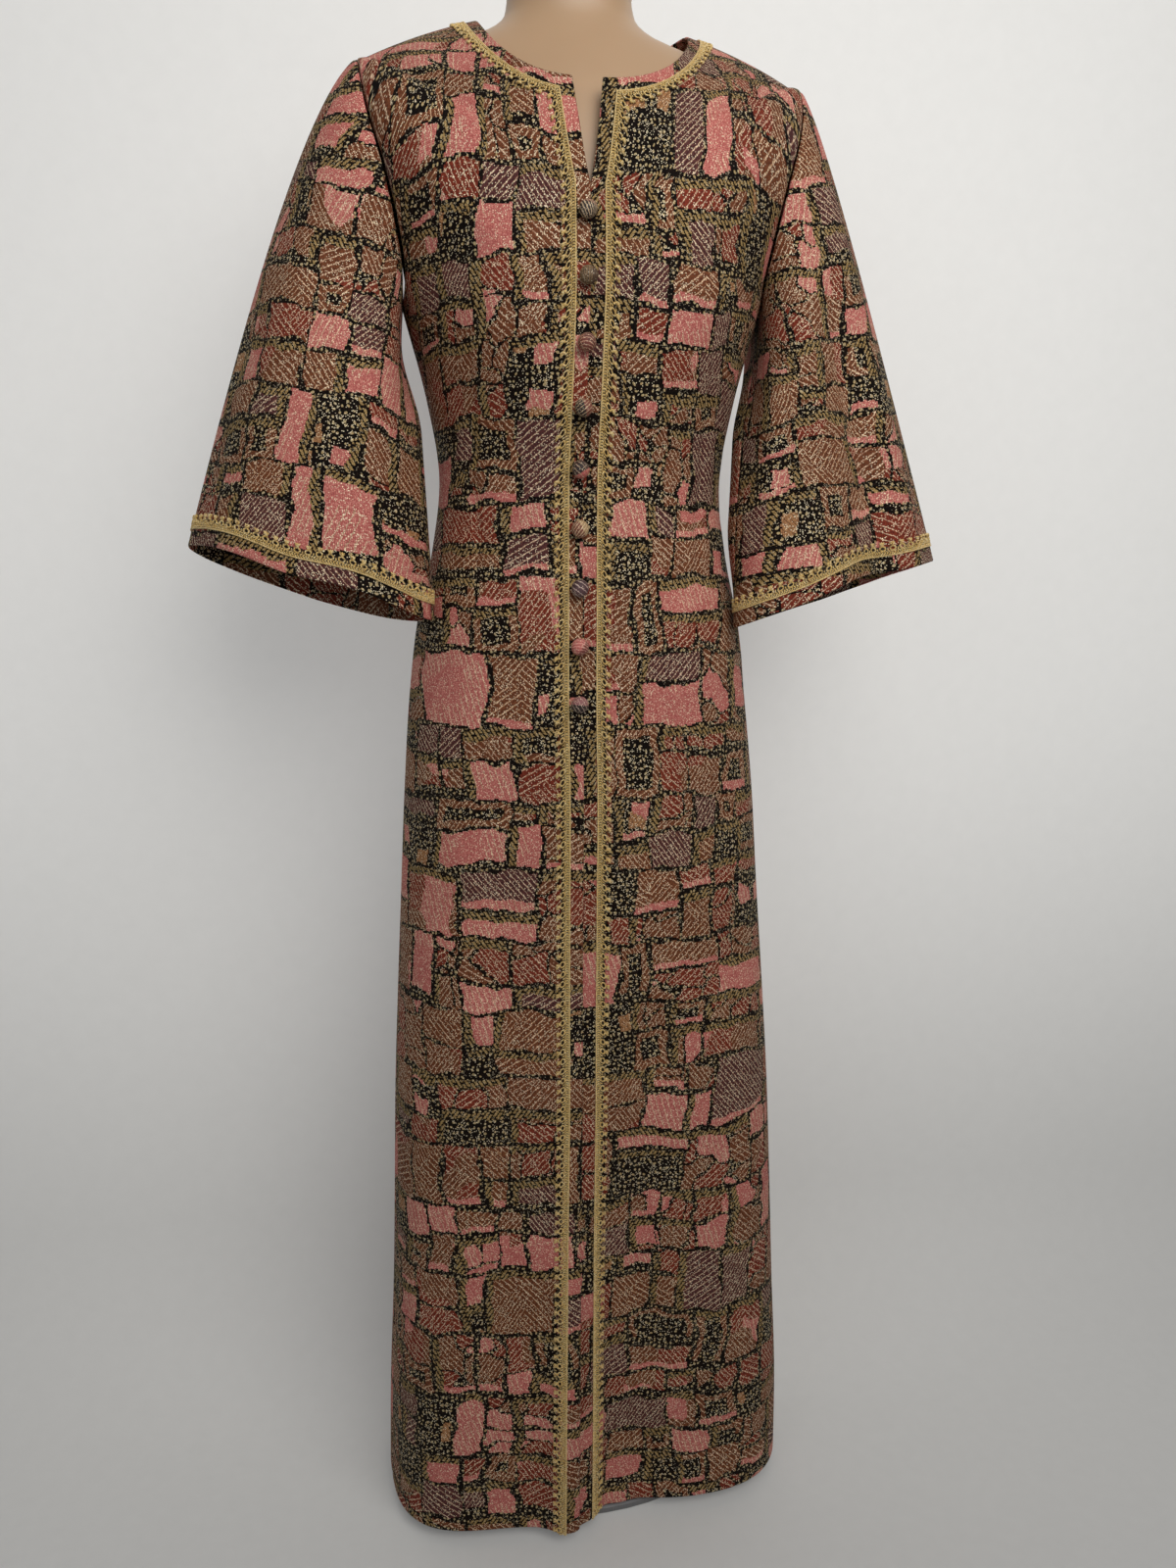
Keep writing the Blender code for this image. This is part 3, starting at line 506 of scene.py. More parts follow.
def sleeve_controls(side, count):
    """The four control rings of a sleeve, with count points on each half of the armhole."""
    between = np.linspace(1, 2, count + 1)[1:-1]
    ends = [side_end(side, 1.0)]
    ends += [row_end("front", side, station) for station in between]
    ends += [side_end(side, 2.0)]
    ends += [row_end("back", side, station) for station in between[::-1]]
    loop = np.array([end[0] for end in ends])
    outward = np.array([end[1] for end in ends])
    cut = SLEEVE_CUTS[side]
    angles = np.arange(len(loop)) * 2 * math.pi / len(loop)
    over_seam = side * np.cross(around(loop), outward)
    start = loop + SLEEVE_HEAD_LIFT * outward + SLEEVE_HEAD_SHIFT * over_seam
    height_share = (1 - np.cos(angles)) / 2
    frontness = np.sin(angles)
    leave = np.stack(
        [
            side * (SLEEVE_ARMPIT_SPREAD + cut.tip_spread * height_share**SLEEVE_SPREAD_CURVE),
            -SLEEVE_DEPTH_SPREAD * frontness,
            -1 + SLEEVE_TIP_LIFT * height_share,
        ],
        -1,
    )
    arrive = np.stack(
        [
            side * (CUFF_INNER_SLANT + (cut.outer_slant - CUFF_INNER_SLANT) * height_share),
            -CUFF_DEPTH_SLANT * frontness,
            -np.ones(len(loop)),
        ],
        -1,
    )
    end = cuff_ring(side, angles)
    return (
        start,
        start + cut.start_reach * unit(leave),
        end - cut.end_reach * unit(arrive),
        end,
    )


# Meshes

def put_in_scene(name, data):
    """A new object of the scene, from its mesh, light or camera."""
    thing = bpy.data.objects.new(name, data)
    bpy.context.scene.collection.objects.link(thing)
    return thing


def grid_faces(rows, columns, flip):
    """Faces of a grid of points; flip swaps inside and outside."""
    index = np.arange(rows * columns).reshape(rows, columns)
    a, b = index[:-1, :-1], index[:-1, 1:]
    c, d = index[1:, 1:], index[1:, :-1]
    faces = np.stack([a, b, c, d], -1).reshape(-1, 4)
    return faces[:, ::-1] if flip else faces


def mesh_object(name, verts, faces, uvs=None):
    """A mesh object from arrays; uvs has one pair for each vertex, in metres."""
    mesh = bpy.data.meshes.new(name)
    corners = [tuple(face) for face in np.asarray(faces).tolist()]
    mesh.from_pydata([tuple(vert) for vert in np.asarray(verts)], [], corners)
    mesh.update()
    if uvs is not None:
        layer = mesh.uv_layers.new(name="cloth")
        loops = np.zeros(len(mesh.loops), np.int32)
        mesh.loops.foreach_get("vertex_index", loops)
        layer.data.foreach_set("uv", np.asarray(uvs, float)[loops].reshape(-1))
    mesh.shade_smooth()
    return put_in_scene(name, mesh)


def ring_faces(rings, sides, capped=True, turned=False):
    """Faces between closed rings of points, as lists; turned swaps the inside and the outside."""
    index = np.arange(rings * sides).reshape(rings, sides)
    after = np.roll(index, -1, axis=1)
    faces = np.stack([index[:-1], after[:-1], after[1:], index[1:]], -1).reshape(-1, 4)
    caps = [index[0][::-1], index[-1]]
    if turned:
        faces = faces[:, [0, 3, 2, 1]]
        caps = [cap[::-1] for cap in caps]
    faces = faces.tolist()
    if capped:
        faces += [cap.tolist() for cap in caps]
    return faces


def hand_in(thing, material, replaced):
    """Give a piece its material, and say what it rides on, replaces and is made of."""
    thing.data.materials.append(material)
    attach(thing, "root")
    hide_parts(replaced)


def grid_normals(points, sign, ring=False):
    """Directions square to a grid; a ring's rows are closed."""
    down = np.gradient(points, axis=0)
    if ring:
        along = np.roll(points, -1, axis=1) - np.roll(points, 1, axis=1)
    else:
        along = np.gradient(points, axis=1)
    return sign * unit(np.cross(along, down))


def flat_uvs(points, middle):
    """Flat places of a grid of points: along each row from the middle column, and across rows."""
    steps = np.linalg.norm(np.diff(points, axis=1), axis=2)
    u = np.concatenate([np.zeros((len(points), 1)), np.cumsum(steps, axis=1)], axis=1)
    u -= u[:, middle:middle + 1]
    along = unit(np.gradient(points, axis=1))
    rise = np.diff(points, axis=0)
    across = rise - np.sum(rise * along[1:], -1, keepdims=True) * along[1:]
    v = np.concatenate([np.zeros((1, points.shape[1])), np.cumsum(np.linalg.norm(across, axis=2), axis=0)])
    return np.stack([u, v], -1)


def crease_line(p, q, a, b, width, depth):
    """Height of a soft ridge along the line a to b, at places p, q; it fades at both ends."""
    start = np.array(a)
    run = np.array(b) - start
    length = np.linalg.norm(run)
    along = ((p - start[0]) * run[0] + (q - start[1]) * run[1]) / length
    off = ((p - start[0]) * -run[1] + (q - start[1]) * run[0]) / length
    fade = ramp(along, -CREASE_SOFT_END, CREASE_FADE * length)
    fade = fade * (1 - ramp(along, (1 - CREASE_FADE) * length, length + CREASE_SOFT_END))
    return depth * np.exp(-((off / width) ** 2)) * fade


def thicken(thing):
    """Give a shell its cloth thickness, inwards."""
    modifier = thing.modifiers.new("cloth", "SOLIDIFY")
    modifier.thickness = SHELL
    modifier.offset = -1.0
    modifier.use_even_offset = True
    modifier.use_quality_normals = True


def panel_stations():
    """Rows from the hem to the neck, close together at both ends."""
    seam = ARMPIT_HEIGHT - HEM_HEIGHT
    lower = np.linspace(EDGE_ROWS[-1] / seam, 1, int(round(seam / CELL)) + 1)[1:]
    armhole = np.linspace(1, 2, int(round(ARMHOLE_RUN / CELL)) + 1)[1:]
    last = 3 - EDGE_ROWS[-1] / SHOULDER_LENGTH
    shoulder = np.linspace(2, last, int(round(SHOULDER_LENGTH / CELL)) + 1)[1:-1]
    return np.concatenate(
        [EDGE_ROWS / seam, lower, armhole, shoulder, 3 - EDGE_ROWS[::-1] / SHOULDER_LENGTH]
    )


def panel_distances(face, side, columns, station):
    """Columns of a panel as distances along a row, close together at both ends."""
    length = row_curve(face, side, station)[1][-1]
    last = EDGE_ROWS[-1]
    middle = np.linspace(last, length - last, columns)[1:-1]
    return np.concatenate([EDGE_ROWS, middle, length - EDGE_ROWS[::-1]])


def panel_grid(face, side):
    """Points of a front or of half the back, and the distances of its columns along each row."""
    columns = int(PANEL_RUN / CELL)
    rows = []
    places = []
    for station in panel_stations():
        def distances_at(place):
            """The panel's columns along any row."""
            return panel_distances(face, side, columns, place)

        rows.append(surface(face, side, station, distances_at)[0])
        places.append(distances_at(station))
    return np.array(rows), np.array(places)


def press(name, points, normals):
    """Press a panel's creases into its points."""
    height = np.zeros(points.shape[:2])
    for crease in CREASES:
        if crease.piece == name:
            height += crease_line(
                points[..., 0], points[..., 2],
                (crease.x_start, crease.z_start), (crease.x_end, crease.z_end),
                crease.width, crease.depth,
            )
    return points + normals * height[..., None]


def draw_in(points, normals, distances, depth, reach):
    """Pull cloth in beside a seam or an edge; distances says how far each point is from it."""
    return points - normals * (depth * np.exp(-((distances / reach) ** 2)))[..., None]


def add_panel(face, side, material):
    """One front or one half of the back, as a thin shell."""
    name = face + ("_right" if side < 0 else "_left")
    points, places = panel_grid(face, side)
    turn = side if face == "front" else -side
    normals = grid_normals(points, turn)
    points = press(name, points, normals)
    stations = panel_stations()
    from_side = places[:, -1:] - places
    points = draw_in(points, normals, from_side, SEAM_TUCK, SEAM_REACH)
    if face == "front":
        points = draw_in(points, normals, places, EDGE_ROUND, EDGE_REACH)
    else:
        points = draw_in(points, normals, places, SEAM_TUCK, SEAM_REACH)
    from_hem = (stations * (ARMPIT_HEIGHT - HEM_HEIGHT))[:, None] + 0 * places
    from_neck = ((3 - stations) * SHOULDER_LENGTH)[:, None] + 0 * places
    points = draw_in(points, normals, from_hem, EDGE_ROUND, EDGE_REACH)
    points = draw_in(points, normals, from_neck, EDGE_ROUND, EDGE_REACH)
    offset = (0.0, 0.0)
    if face == "back":
        offset = (BACK_PATTERN_X + BACK_PATTERN_STEP * side, BACK_PATTERN_Y)
    uvs = flat_uvs(points, 0) * (turn, 1) + offset
    shell = mesh_object("kaftan_" + name, points.reshape(-1, 3),
                        grid_faces(*points.shape[:2], turn < 0), uvs.reshape(-1, 2))
    thicken(shell)
    hand_in(shell, material, name)
    return shell


SLEEVE_LENGTH = 0.44


def sleeve_points(side):
    """A sleeve's outer points, in rings from the armhole to the cuff, and their directions."""
    controls = sleeve_controls(side, int(SLEEVE_HEAD_RUN / CELL))
    columns = len(controls[0])
    last = EDGE_ROWS[-1] / SLEEVE_LENGTH
    middle = np.linspace(last, 1 - last, int(SLEEVE_LENGTH / CELL))[1:-1]
    shares = np.concatenate([EDGE_ROWS / SLEEVE_LENGTH, middle, 1 - EDGE_ROWS[::-1] / SLEEVE_LENGTH])
    outer = []
    for column in range(columns):
        curve = bezier([ring[column] for ring in controls], np.linspace(0, 1, CURVE_SAMPLES))
        lengths = lengths_along(curve)
        outer.append(points_at(shares * lengths[-1], lengths, curve))
    outer = np.array(outer).transpose(1, 0, 2)
    turn = np.broadcast_to(np.arange(columns) / columns, outer.shape[:2])
    down = np.broadcast_to(shares[:, None], outer.shape[:2])
    ring = np.linalg.norm(np.roll(outer, -1, axis=1) - outer, axis=2).sum(axis=1, keepdims=True)
    height = np.zeros(outer.shape[:2])
    for crease in SLEEVE_CREASES:
        if crease.side == side:
            run = np.clip((down - crease.down_start) / (crease.down_end - crease.down_start), 0, 1)
            middle = crease.turn_start + (crease.turn_end - crease.turn_start) * run
            away = (turn - middle + 0.5) % 1.0 - 0.5
            fade = ramp(run, 0.0, SLEEVE_CREASE_FADE)
            if crease.down_end < 1.0:
                fade = fade * (1 - ramp(run, 1 - SLEEVE_CREASE_FADE, 1.0))
            height += crease.depth * np.exp(-((away * ring / crease.width) ** 2)) * fade
    normals = -side * grid_normals(outer, 1, ring=True)
    outer = outer + normals * height[..., None]
    outer = draw_in(outer, normals, down * SLEEVE_LENGTH, SEAM_TUCK, SEAM_REACH)
    outer = draw_in(outer, normals, (1 - down) * SLEEVE_LENGTH, EDGE_ROUND, EDGE_REACH)
    return outer, normals


SLEEVE_GRAIN_WIDTH = 0.092
SLEEVE_GRAIN_DEPTH = 0.062


def sleeve_uvs(side, closed):
    """Places on the cloth of a sleeve, with its grain along the sleeve's own axis."""
    top = closed[0, :-1].mean(axis=0)
    axis = unit(closed[-1, :-1].mean(axis=0) - top)
    across = unit(np.cross((0.0, -1.0, 0.0), axis))
    front = np.cross(axis, across)
    middle = closed[:, :-1].mean(axis=1)[:, None]
    offset = closed - middle
    turns = np.linspace(-math.pi, math.pi, 721)
    speed = np.hypot(SLEEVE_GRAIN_WIDTH * np.sin(turns), SLEEVE_GRAIN_DEPTH * np.cos(turns))
    run = np.concatenate([[0.0], np.cumsum((speed[1:] + speed[:-1]) / 2 * (turns[1] - turns[0]))])
    angle = np.arctan2((offset @ front) / SLEEVE_GRAIN_DEPTH, (offset @ across) / SLEEVE_GRAIN_WIDTH)
    angle = np.unwrap(angle, axis=1)
    angle -= 2 * math.pi * np.round((angle[:, :1] - angle[:1, :1]) / (2 * math.pi))
    whole = np.floor((angle + math.pi) / (2 * math.pi))
    u = np.interp(angle - 2 * math.pi * whole, turns, run) + whole * run[-1]
    v = -(closed - top) @ axis
    return np.stack([u + SLEEVE_PATTERN_STEP * side, v + SLEEVE_PATTERN_Y], -1)


def add_sleeve(side, name, outer, material):
    """One sleeve, as a thin shell that closes under the arm."""
    closed = np.concatenate([outer, outer[:, :1]], axis=1)
    uvs = sleeve_uvs(side, closed)
    shell = mesh_object("kaftan_sleeve_" + name, closed.reshape(-1, 3),
                        grid_faces(*closed.shape[:2], side > 0), uvs.reshape(-1, 2))
    thicken(shell)
    hand_in(shell, material, "sleeve_" + name)
    return shell


# Crochet braid

BRAID_PITCH = 0.0094
CORD_ACROSS = 0.0008
CORD_RADIUS = 0.00078
CORD_TWISTS = 4
CORD_STEPS = 12
CORD_SIDES = 6
CORD_HEIGHT = 0.0007
CORD_SWELL = 0.22
CHAIN_ROWS = ((2.5, 1), (4.2, -1))
CHAIN_LEAN = 35.0
JOIN_CENTRE = 6.2
RING_CENTRE = 7.1
RING_REACH = (2.55, 1.95)
RING_BLOBS = 8
BOBBLE_CENTRE = 10.85
BOBBLE_REACH = (2.0, 0.35)
BOBBLE_FAN = 30.0
# A dark flat sheet under each repeat is painted shade for the braid's holes: how far across it reaches, in
# millimetres, how high it lies, and the mark that tells the shader of it
SHADE_SHEET_EDGES = (0.4, 9.0)
SHADE_SHEET_HEIGHT = 0.12
SHADE_SHEET_FLAG = 1.0

# Eggs of yarn, in millimetres: how high the middle is, and half the length, width and height
Egg = namedtuple("Egg", "middle long_half wide_half tall_half")
CHAIN_EGG = Egg(0.75, 1.45, 0.74, 0.80)
RING_EGG = Egg(0.85, 1.30, 0.82, 1.00)
JOIN_EGG = Egg(0.70, 1.40, 0.75, 0.70)
BOBBLE_EGG = Egg(1.05, 2.20, 1.02, 1.35)
EGG_SEGMENTS = 6
EGG_RINGS = 4
EGG_ENDS = (0.13, 0.87)
BRAID_LANES = 6
BRAID_ROWS = 420
NECK_ROWS = 70
BACK_NECK_ROWS = 40
FINE_STATIONS = np.linspace(0, 3, 3001)


def tube(path, radii, sides):
    """A tube round a path; radii has a radius for each point and side."""
    path = np.asarray(path, float)
    direction = unit(np.gradient(path, axis=0))
    right = unit(np.cross((0.0, 0.0, 1.0), direction))
    over = np.cross(direction, right)
    angles = np.arange(sides) * 2 * math.pi / sides
    verts = (
        path[:, None]
        + (radii * np.cos(angles))[..., None] * right[:, None]
        + (radii * np.sin(angles))[..., None] * over[:, None]
    )
    return verts.reshape(-1, 3), ring_faces(len(path), sides, capped=False)


def blob(x, y, egg, degrees):
    """A small closed egg; degrees turns its long side away from the braid's run."""
    ends = np.linspace(*EGG_ENDS, EGG_RINGS) * math.pi
    round_it = 2 * math.pi * np.arange(EGG_SEGMENTS) / EGG_SEGMENTS
    shape = np.stack(
        [
            np.repeat(-np.cos(ends)[:, None] * egg.long_half, EGG_SEGMENTS, axis=1),
            np.sin(ends)[:, None] * np.cos(round_it) * egg.wide_half,
            np.sin(ends)[:, None] * np.sin(round_it) * egg.tall_half,
        ],
        -1,
    ).reshape(-1, 3)
    cos, sin = math.cos(math.radians(degrees)), math.sin(math.radians(degrees))
    shape = shape @ np.array([[cos, sin, 0], [-sin, cos, 0], [0, 0, 1]]) + (x, y, egg.middle)
    return shape / 1000.0, ring_faces(EGG_RINGS, EGG_SEGMENTS)


def braid_unit():
    """One repeat of the braid: along it, across it from the corded edge, and up from the cloth."""
    pitch = BRAID_PITCH * 1000.0
    along = np.linspace(0, BRAID_PITCH, CORD_STEPS + 1)
    phase = 2 * math.pi * CORD_TWISTS * along / BRAID_PITCH
    angles = np.arange(CORD_SIDES) * 2 * math.pi / CORD_SIDES
    radii = CORD_RADIUS * (1 + CORD_SWELL * np.cos(2 * angles[None] - phase[:, None]))
    path = np.stack([along, np.full(len(along), CORD_ACROSS), np.full(len(along), CORD_HEIGHT)], -1)
    parts = [tube(path, radii, CORD_SIDES)]
    for across, lean in CHAIN_ROWS:
        for k in range(4):
            parts.append(blob(pitch * (k + 0.5) / 4, across, CHAIN_EGG, CHAIN_LEAN * lean))
    middle = pitch / 2
    for k in range(RING_BLOBS):
        angle = 360.0 * (k + 0.5) / RING_BLOBS
        radians = math.radians(angle)
        parts.append(
            blob(middle + RING_REACH[0] * math.cos(radians),
                 RING_CENTRE + RING_REACH[1] * math.sin(radians), RING_EGG, angle + 90.0)
        )
    parts.append(blob(0.0, JOIN_CENTRE, JOIN_EGG, 90.0))
    for fan in (-BOBBLE_FAN, 0.0, BOBBLE_FAN):
        radians = math.radians(fan)
        parts.append(
            blob(middle + BOBBLE_REACH[0] * math.sin(radians),
                 BOBBLE_CENTRE + BOBBLE_REACH[1] * math.cos(radians), BOBBLE_EGG, 90.0 - fan)
        )
    # The dark flat sheet under the yarn: painted shade seen through the braid's holes
    near, far = SHADE_SHEET_EDGES
    corners = [(0, near), (pitch, near), (pitch, far), (0, far)]
    shade_sheet = np.array([(*corner, SHADE_SHEET_HEIGHT) for corner in corners]) / 1000.0
    verts = np.concatenate([part[0] for part in parts] + [shade_sheet])
    shade_sheet_flag = np.zeros(len(verts))
    shade_sheet_flag[-4:] = SHADE_SHEET_FLAG
    faces = []
    base = 0
    for part in parts:
        faces += [[base + i for i in face] for face in part[1]]
        base += len(part[0])
    faces.append([base, base + 1, base + 2, base + 3])
    return verts, faces, shade_sheet_flag


def repeat_mesh(name, verts, faces, copies, flip, uvs):
    """A mesh of many copies of the same faces, whose vertices follow each other in verts."""
    sizes = np.array([len(face) for face in faces])
    order = np.concatenate([np.array(face[::-1] if flip else face) for face in faces])
    each = len(verts) // copies
    loops = (order[None] + np.arange(copies)[:, None] * each).reshape(-1)
    starts = np.concatenate([[0], np.cumsum(np.tile(sizes, copies))[:-1]])
    mesh = bpy.data.meshes.new(name)
    mesh.vertices.add(len(verts))
    mesh.vertices.foreach_set("co", np.asarray(verts, np.float32).reshape(-1))
    mesh.loops.add(len(loops))
    mesh.loops.foreach_set("vertex_index", loops.astype(np.int32))
    mesh.polygons.add(len(starts))
    mesh.polygons.foreach_set("loop_start", starts.astype(np.int32))
    mesh.update(calc_edges=True)
    layer = mesh.uv_layers.new(name="cloth")
    layer.data.foreach_set("uv", np.asarray(uvs, np.float32)[loops].reshape(-1))
    mesh.shade_smooth()
    return put_in_scene(name, mesh)


def lay_braid(word, centres, normals, material):
    """Lay the repeat along a strip; centres[i, j] runs along the braid and across it."""
    name = "crochet_" + word
    unit_verts, unit_faces, shade_sheet_flag = braid_unit()
    lengths = lengths_along(centres[:, centres.shape[1] // 2])
    count = int(round(lengths[-1] / BRAID_PITCH))
    scale = lengths[-1] / count / BRAID_PITCH
    verts = np.repeat(unit_verts[None], count, axis=0)
    rng = np.random.default_rng(len(name) * 7 + count)
    verts[..., 0] += (np.arange(count) * BRAID_PITCH)[:, None]
    verts[..., 0] *= scale
    outer = ramp(verts[..., 1], 0.005, 0.010)
    verts[..., 1] += outer * rng.normal(0, 0.00025, (count, 1))
    verts[..., 0] += outer * rng.normal(0, 0.00020, (count, 1))
    verts[..., 2] *= 1 + outer * rng.normal(0, 0.08, (count, 1))
    verts = verts.reshape(-1, 3)
    row = np.interp(verts[:, 0], lengths, np.arange(len(lengths)))
    row_low = np.clip(np.floor(row).astype(int), 0, len(lengths) - 2)
    row_share = (row - row_low)[:, None]
    across = np.clip(verts[:, 1] / BRAID_WIDTH, -0.2, 1.2) * (centres.shape[1] - 1)
    col_low = np.clip(np.floor(across).astype(int), 0, centres.shape[1] - 2)
    col_share = (across - col_low)[:, None]

    def at(grid):
        """A grid's values at the vertices, read between its points."""
        low = grid[row_low, col_low] * (1 - col_share) + grid[row_low, col_low + 1] * col_share
        high = grid[row_low + 1, col_low] * (1 - col_share) + grid[row_low + 1, col_low + 1] * col_share
        return low * (1 - row_share) + high * row_share

    placed = at(centres) + unit(at(normals)) * verts[:, 2:3]
    flip = np.dot(np.cross(centres[1, 0] - centres[0, 0], centres[0, 1] - centres[0, 0]), normals[0, 0]) < 0
    # The painted-shade sheet is marked in the second part of the uv
    uvs = np.stack([verts[:, 0], verts[:, 1] + np.tile(shade_sheet_flag, count)], -1)
    thing = repeat_mesh(name, placed, unit_faces, count, flip, uvs)
    hand_in(thing, material, "braid_" + word)
    return thing


def strip_grid(side, name):
    """Points and directions under a front's braid: up the opening, then out along the neckline."""
    heights = np.array([centre_height("front", s) for s in FINE_STATIONS])
    lanes = np.linspace(0, BRAID_WIDTH, BRAID_LANES)
    tops = FRONT_NECK_HEIGHT - EDGE_STRIP - lanes
    levels = np.linspace(HEM_HEIGHT, FRONT_NECK_HEIGHT - EDGE_STRIP, BRAID_ROWS)
    upright = []
    upright_normals = []
    for level in levels:
        def distances_at(place):
            """The braid's lanes along any row."""
            lap = lap_at(centre_height("front", place)) if side > 0 else 0.0
            return lap + EDGE_STRIP + lanes

        station = float(np.interp(level, heights, FINE_STATIONS))
        point, outward = surface("front", side, station, distances_at)
        upright.append(point)
        upright_normals.append(outward)
    upright = np.array(upright)
    upright_normals = np.array(upright_normals)
    centres = []
    normals = []
    for lane, top in enumerate(tops):
        places = np.linspace(HEM_HEIGHT, top, BRAID_ROWS)
        column = points_at(places, levels, upright[:, lane])
        column_normals = points_at(places, levels, upright_normals[:, lane])
        reach = EDGE_STRIP + lanes[lane]
        station = 3 - reach / SHOULDER_LENGTH
        run = np.linspace(reach, row_curve("front", side, station)[1][-1], NECK_ROWS)[1:]
        point, outward = surface("front", side, station, lambda place: run)
        centres.append(np.concatenate([column, point]))
        normals.append(np.concatenate([unit(column_normals), outward]))
    centres = np.array(centres).transpose(1, 0, 2)
    normals = np.array(normals).transpose(1, 0, 2)
    return press(name, centres, normals), normals


def back_neck_braid(material):
    """The braid of the back neck, from shoulder seam to shoulder seam."""
    centres = []
    normals = []
    for lane in np.linspace(0, BRAID_WIDTH, BRAID_LANES):
        station = 3 - (EDGE_STRIP + lane) / SHOULDER_LENGTH
        rows = []
        row_normals = []
        for side in (-1, 1):
            run = np.linspace(0, row_curve("back", side, station)[1][-1], BACK_NECK_ROWS)
            point, outward = surface("back", side, station, lambda place: run)
            rows.append(point[:0:-1] if side < 0 else point)
            row_normals.append(outward[:0:-1] if side < 0 else outward)
        centres.append(np.concatenate(rows))
        normals.append(np.concatenate(row_normals))
    centres = np.array(centres).transpose(1, 0, 2)
    normals = np.array(normals).transpose(1, 0, 2)
    return lay_braid("back_neck", centres, normals, material)


def cuff_braid(name, outer, directions, material):
    """The braid of a cuff, with its corded edge towards the edge of the cloth."""
    steps = np.linalg.norm(np.diff(outer, axis=0), axis=2)
    lengths = np.concatenate([np.zeros((1, outer.shape[1])), np.cumsum(steps, axis=0)])
    centres = []
    normals = []
    for column in range(outer.shape[1]):
        places = lengths[-1, column] - CUFF_STRIP - np.linspace(0, BRAID_WIDTH, BRAID_LANES)
        far = lengths[:, column]
        centres.append(points_at(places, far, outer[:, column]))
        normals.append(points_at(places, far, directions[:, column]))
    centres.append(centres[0])
    normals.append(normals[0])
    return lay_braid("cuff_" + name, np.array(centres), np.array(normals), material)


# Buttons

def station_at(height):
    """The row that the front's edge reaches at a height."""
    if height <= ARMPIT_HEIGHT:
        return (height - HEM_HEIGHT) / (ARMPIT_HEIGHT - HEM_HEIGHT)
    return 1 + (height - ARMPIT_HEIGHT) / (centre_height("front", 2.0) - ARMPIT_HEIGHT)


BUTTON_SEGMENTS = 32
BUTTON_RINGS = 18

# The cloth on each button: two colours and where they meet, and the pale lines over them
Look = namedtuple("Look", "base other line split_turn split_at line_turn pitch share bend")
LOOKS = (
    Look((34, 24, 20), (112, 58, 46), (206, 180, 146), 70, 3.4, 20, 2.3, 0.40, 26),
    Look((122, 96, 66), (92, 66, 46), (34, 24, 18), 0, 2.0, 0, 2.1, 0.34, 10),
    Look((116, 56, 44), (96, 48, 40), (214, 172, 140), 40, 1.0, 75, 2.9, 0.26, 60),
    Look((32, 23, 19), (120, 60, 48), (196, 170, 134), 15, 0.6, -50, 3.0, 0.26, 0),
    Look((30, 22, 19), (188, 98, 92), (178, 150, 120), -60, 2.2, 45, 3.4, 0.20, 20),
    Look((118, 62, 46), (168, 138, 98), (222, 192, 152), 25, 1.4, -35, 2.6, 0.28, 0),
    Look((88, 58, 62), (70, 46, 50), (222, 196, 184), 110, 2.0, 55, 4.4, 0.18, 0),
    Look((186, 98, 90), (124, 58, 50), (232, 184, 168), -30, 1.8, 80, 2.8, 0.24, 30),
    Look((30, 22, 19), (142, 88, 88), (196, 168, 150), 85, 0.2, 30, 3.6, 0.20, 0),
)


def add_buttons():
    """Nine cloth-covered balls, gathered underneath."""
    for number, look in enumerate(LOOKS):
        station = station_at(BUTTON_TOP - number * BUTTON_PITCH)
        points, outward = surface("front", -1, station, lambda place: np.array([BUTTON_INSET]))
        centre = points[0] + (BUTTON_HEIGHT * BUTTON_RADIUS + BUTTON_LIFT) * outward[0]
        turn = np.array(Vector(outward[0]).to_track_quat("Z", "Y").to_matrix())
        down = math.pi * np.linspace(0.01, 0.99, BUTTON_RINGS)[:, None]
        lon = (2 * math.pi * np.arange(BUTTON_SEGMENTS) / BUTTON_SEGMENTS)[None]
        wave = 0.012 * np.sin(2 * lon + number) + 0.010 * np.sin(3 * lon + 2.1 * number)
        gathers = 0.05 * np.maximum(0.0, -np.cos(down)) * np.cos(9 * lon)
        size = BUTTON_RADIUS * (1 + wave * np.sin(down) - gathers)
        local = np.stack(
            [
                np.sin(down) * np.cos(lon) * size,
                np.sin(down) * np.sin(lon) * size,
                BUTTON_HEIGHT * np.cos(down) * size,
            ],
            -1,
        )
        flat = np.stack([down * np.cos(lon), down * np.sin(lon)], -1) * BUTTON_RADIUS
        faces = ring_faces(BUTTON_RINGS, BUTTON_SEGMENTS, turned=True)
        verts = centre + local.reshape(-1, 3) @ turn.T
        name = "covered_button_%d" % (number + 1)
        button = repeat_mesh(name, verts, faces, 1, False, flat.reshape(-1, 2))
        material = button_material("button_cloth_%d" % (number + 1), look)
        hand_in(button, material, "button_%d" % (number + 1))


# Materials

def linear(*rgb):
    """A colour of the scene from one out of 255."""
    out = []
    for value in rgb:
        c = value / 255.0
        out.append(c / 12.92 if c <= 0.04045 else ((c + 0.055) / 1.055) ** 2.4)
    return (*out, 1.0)


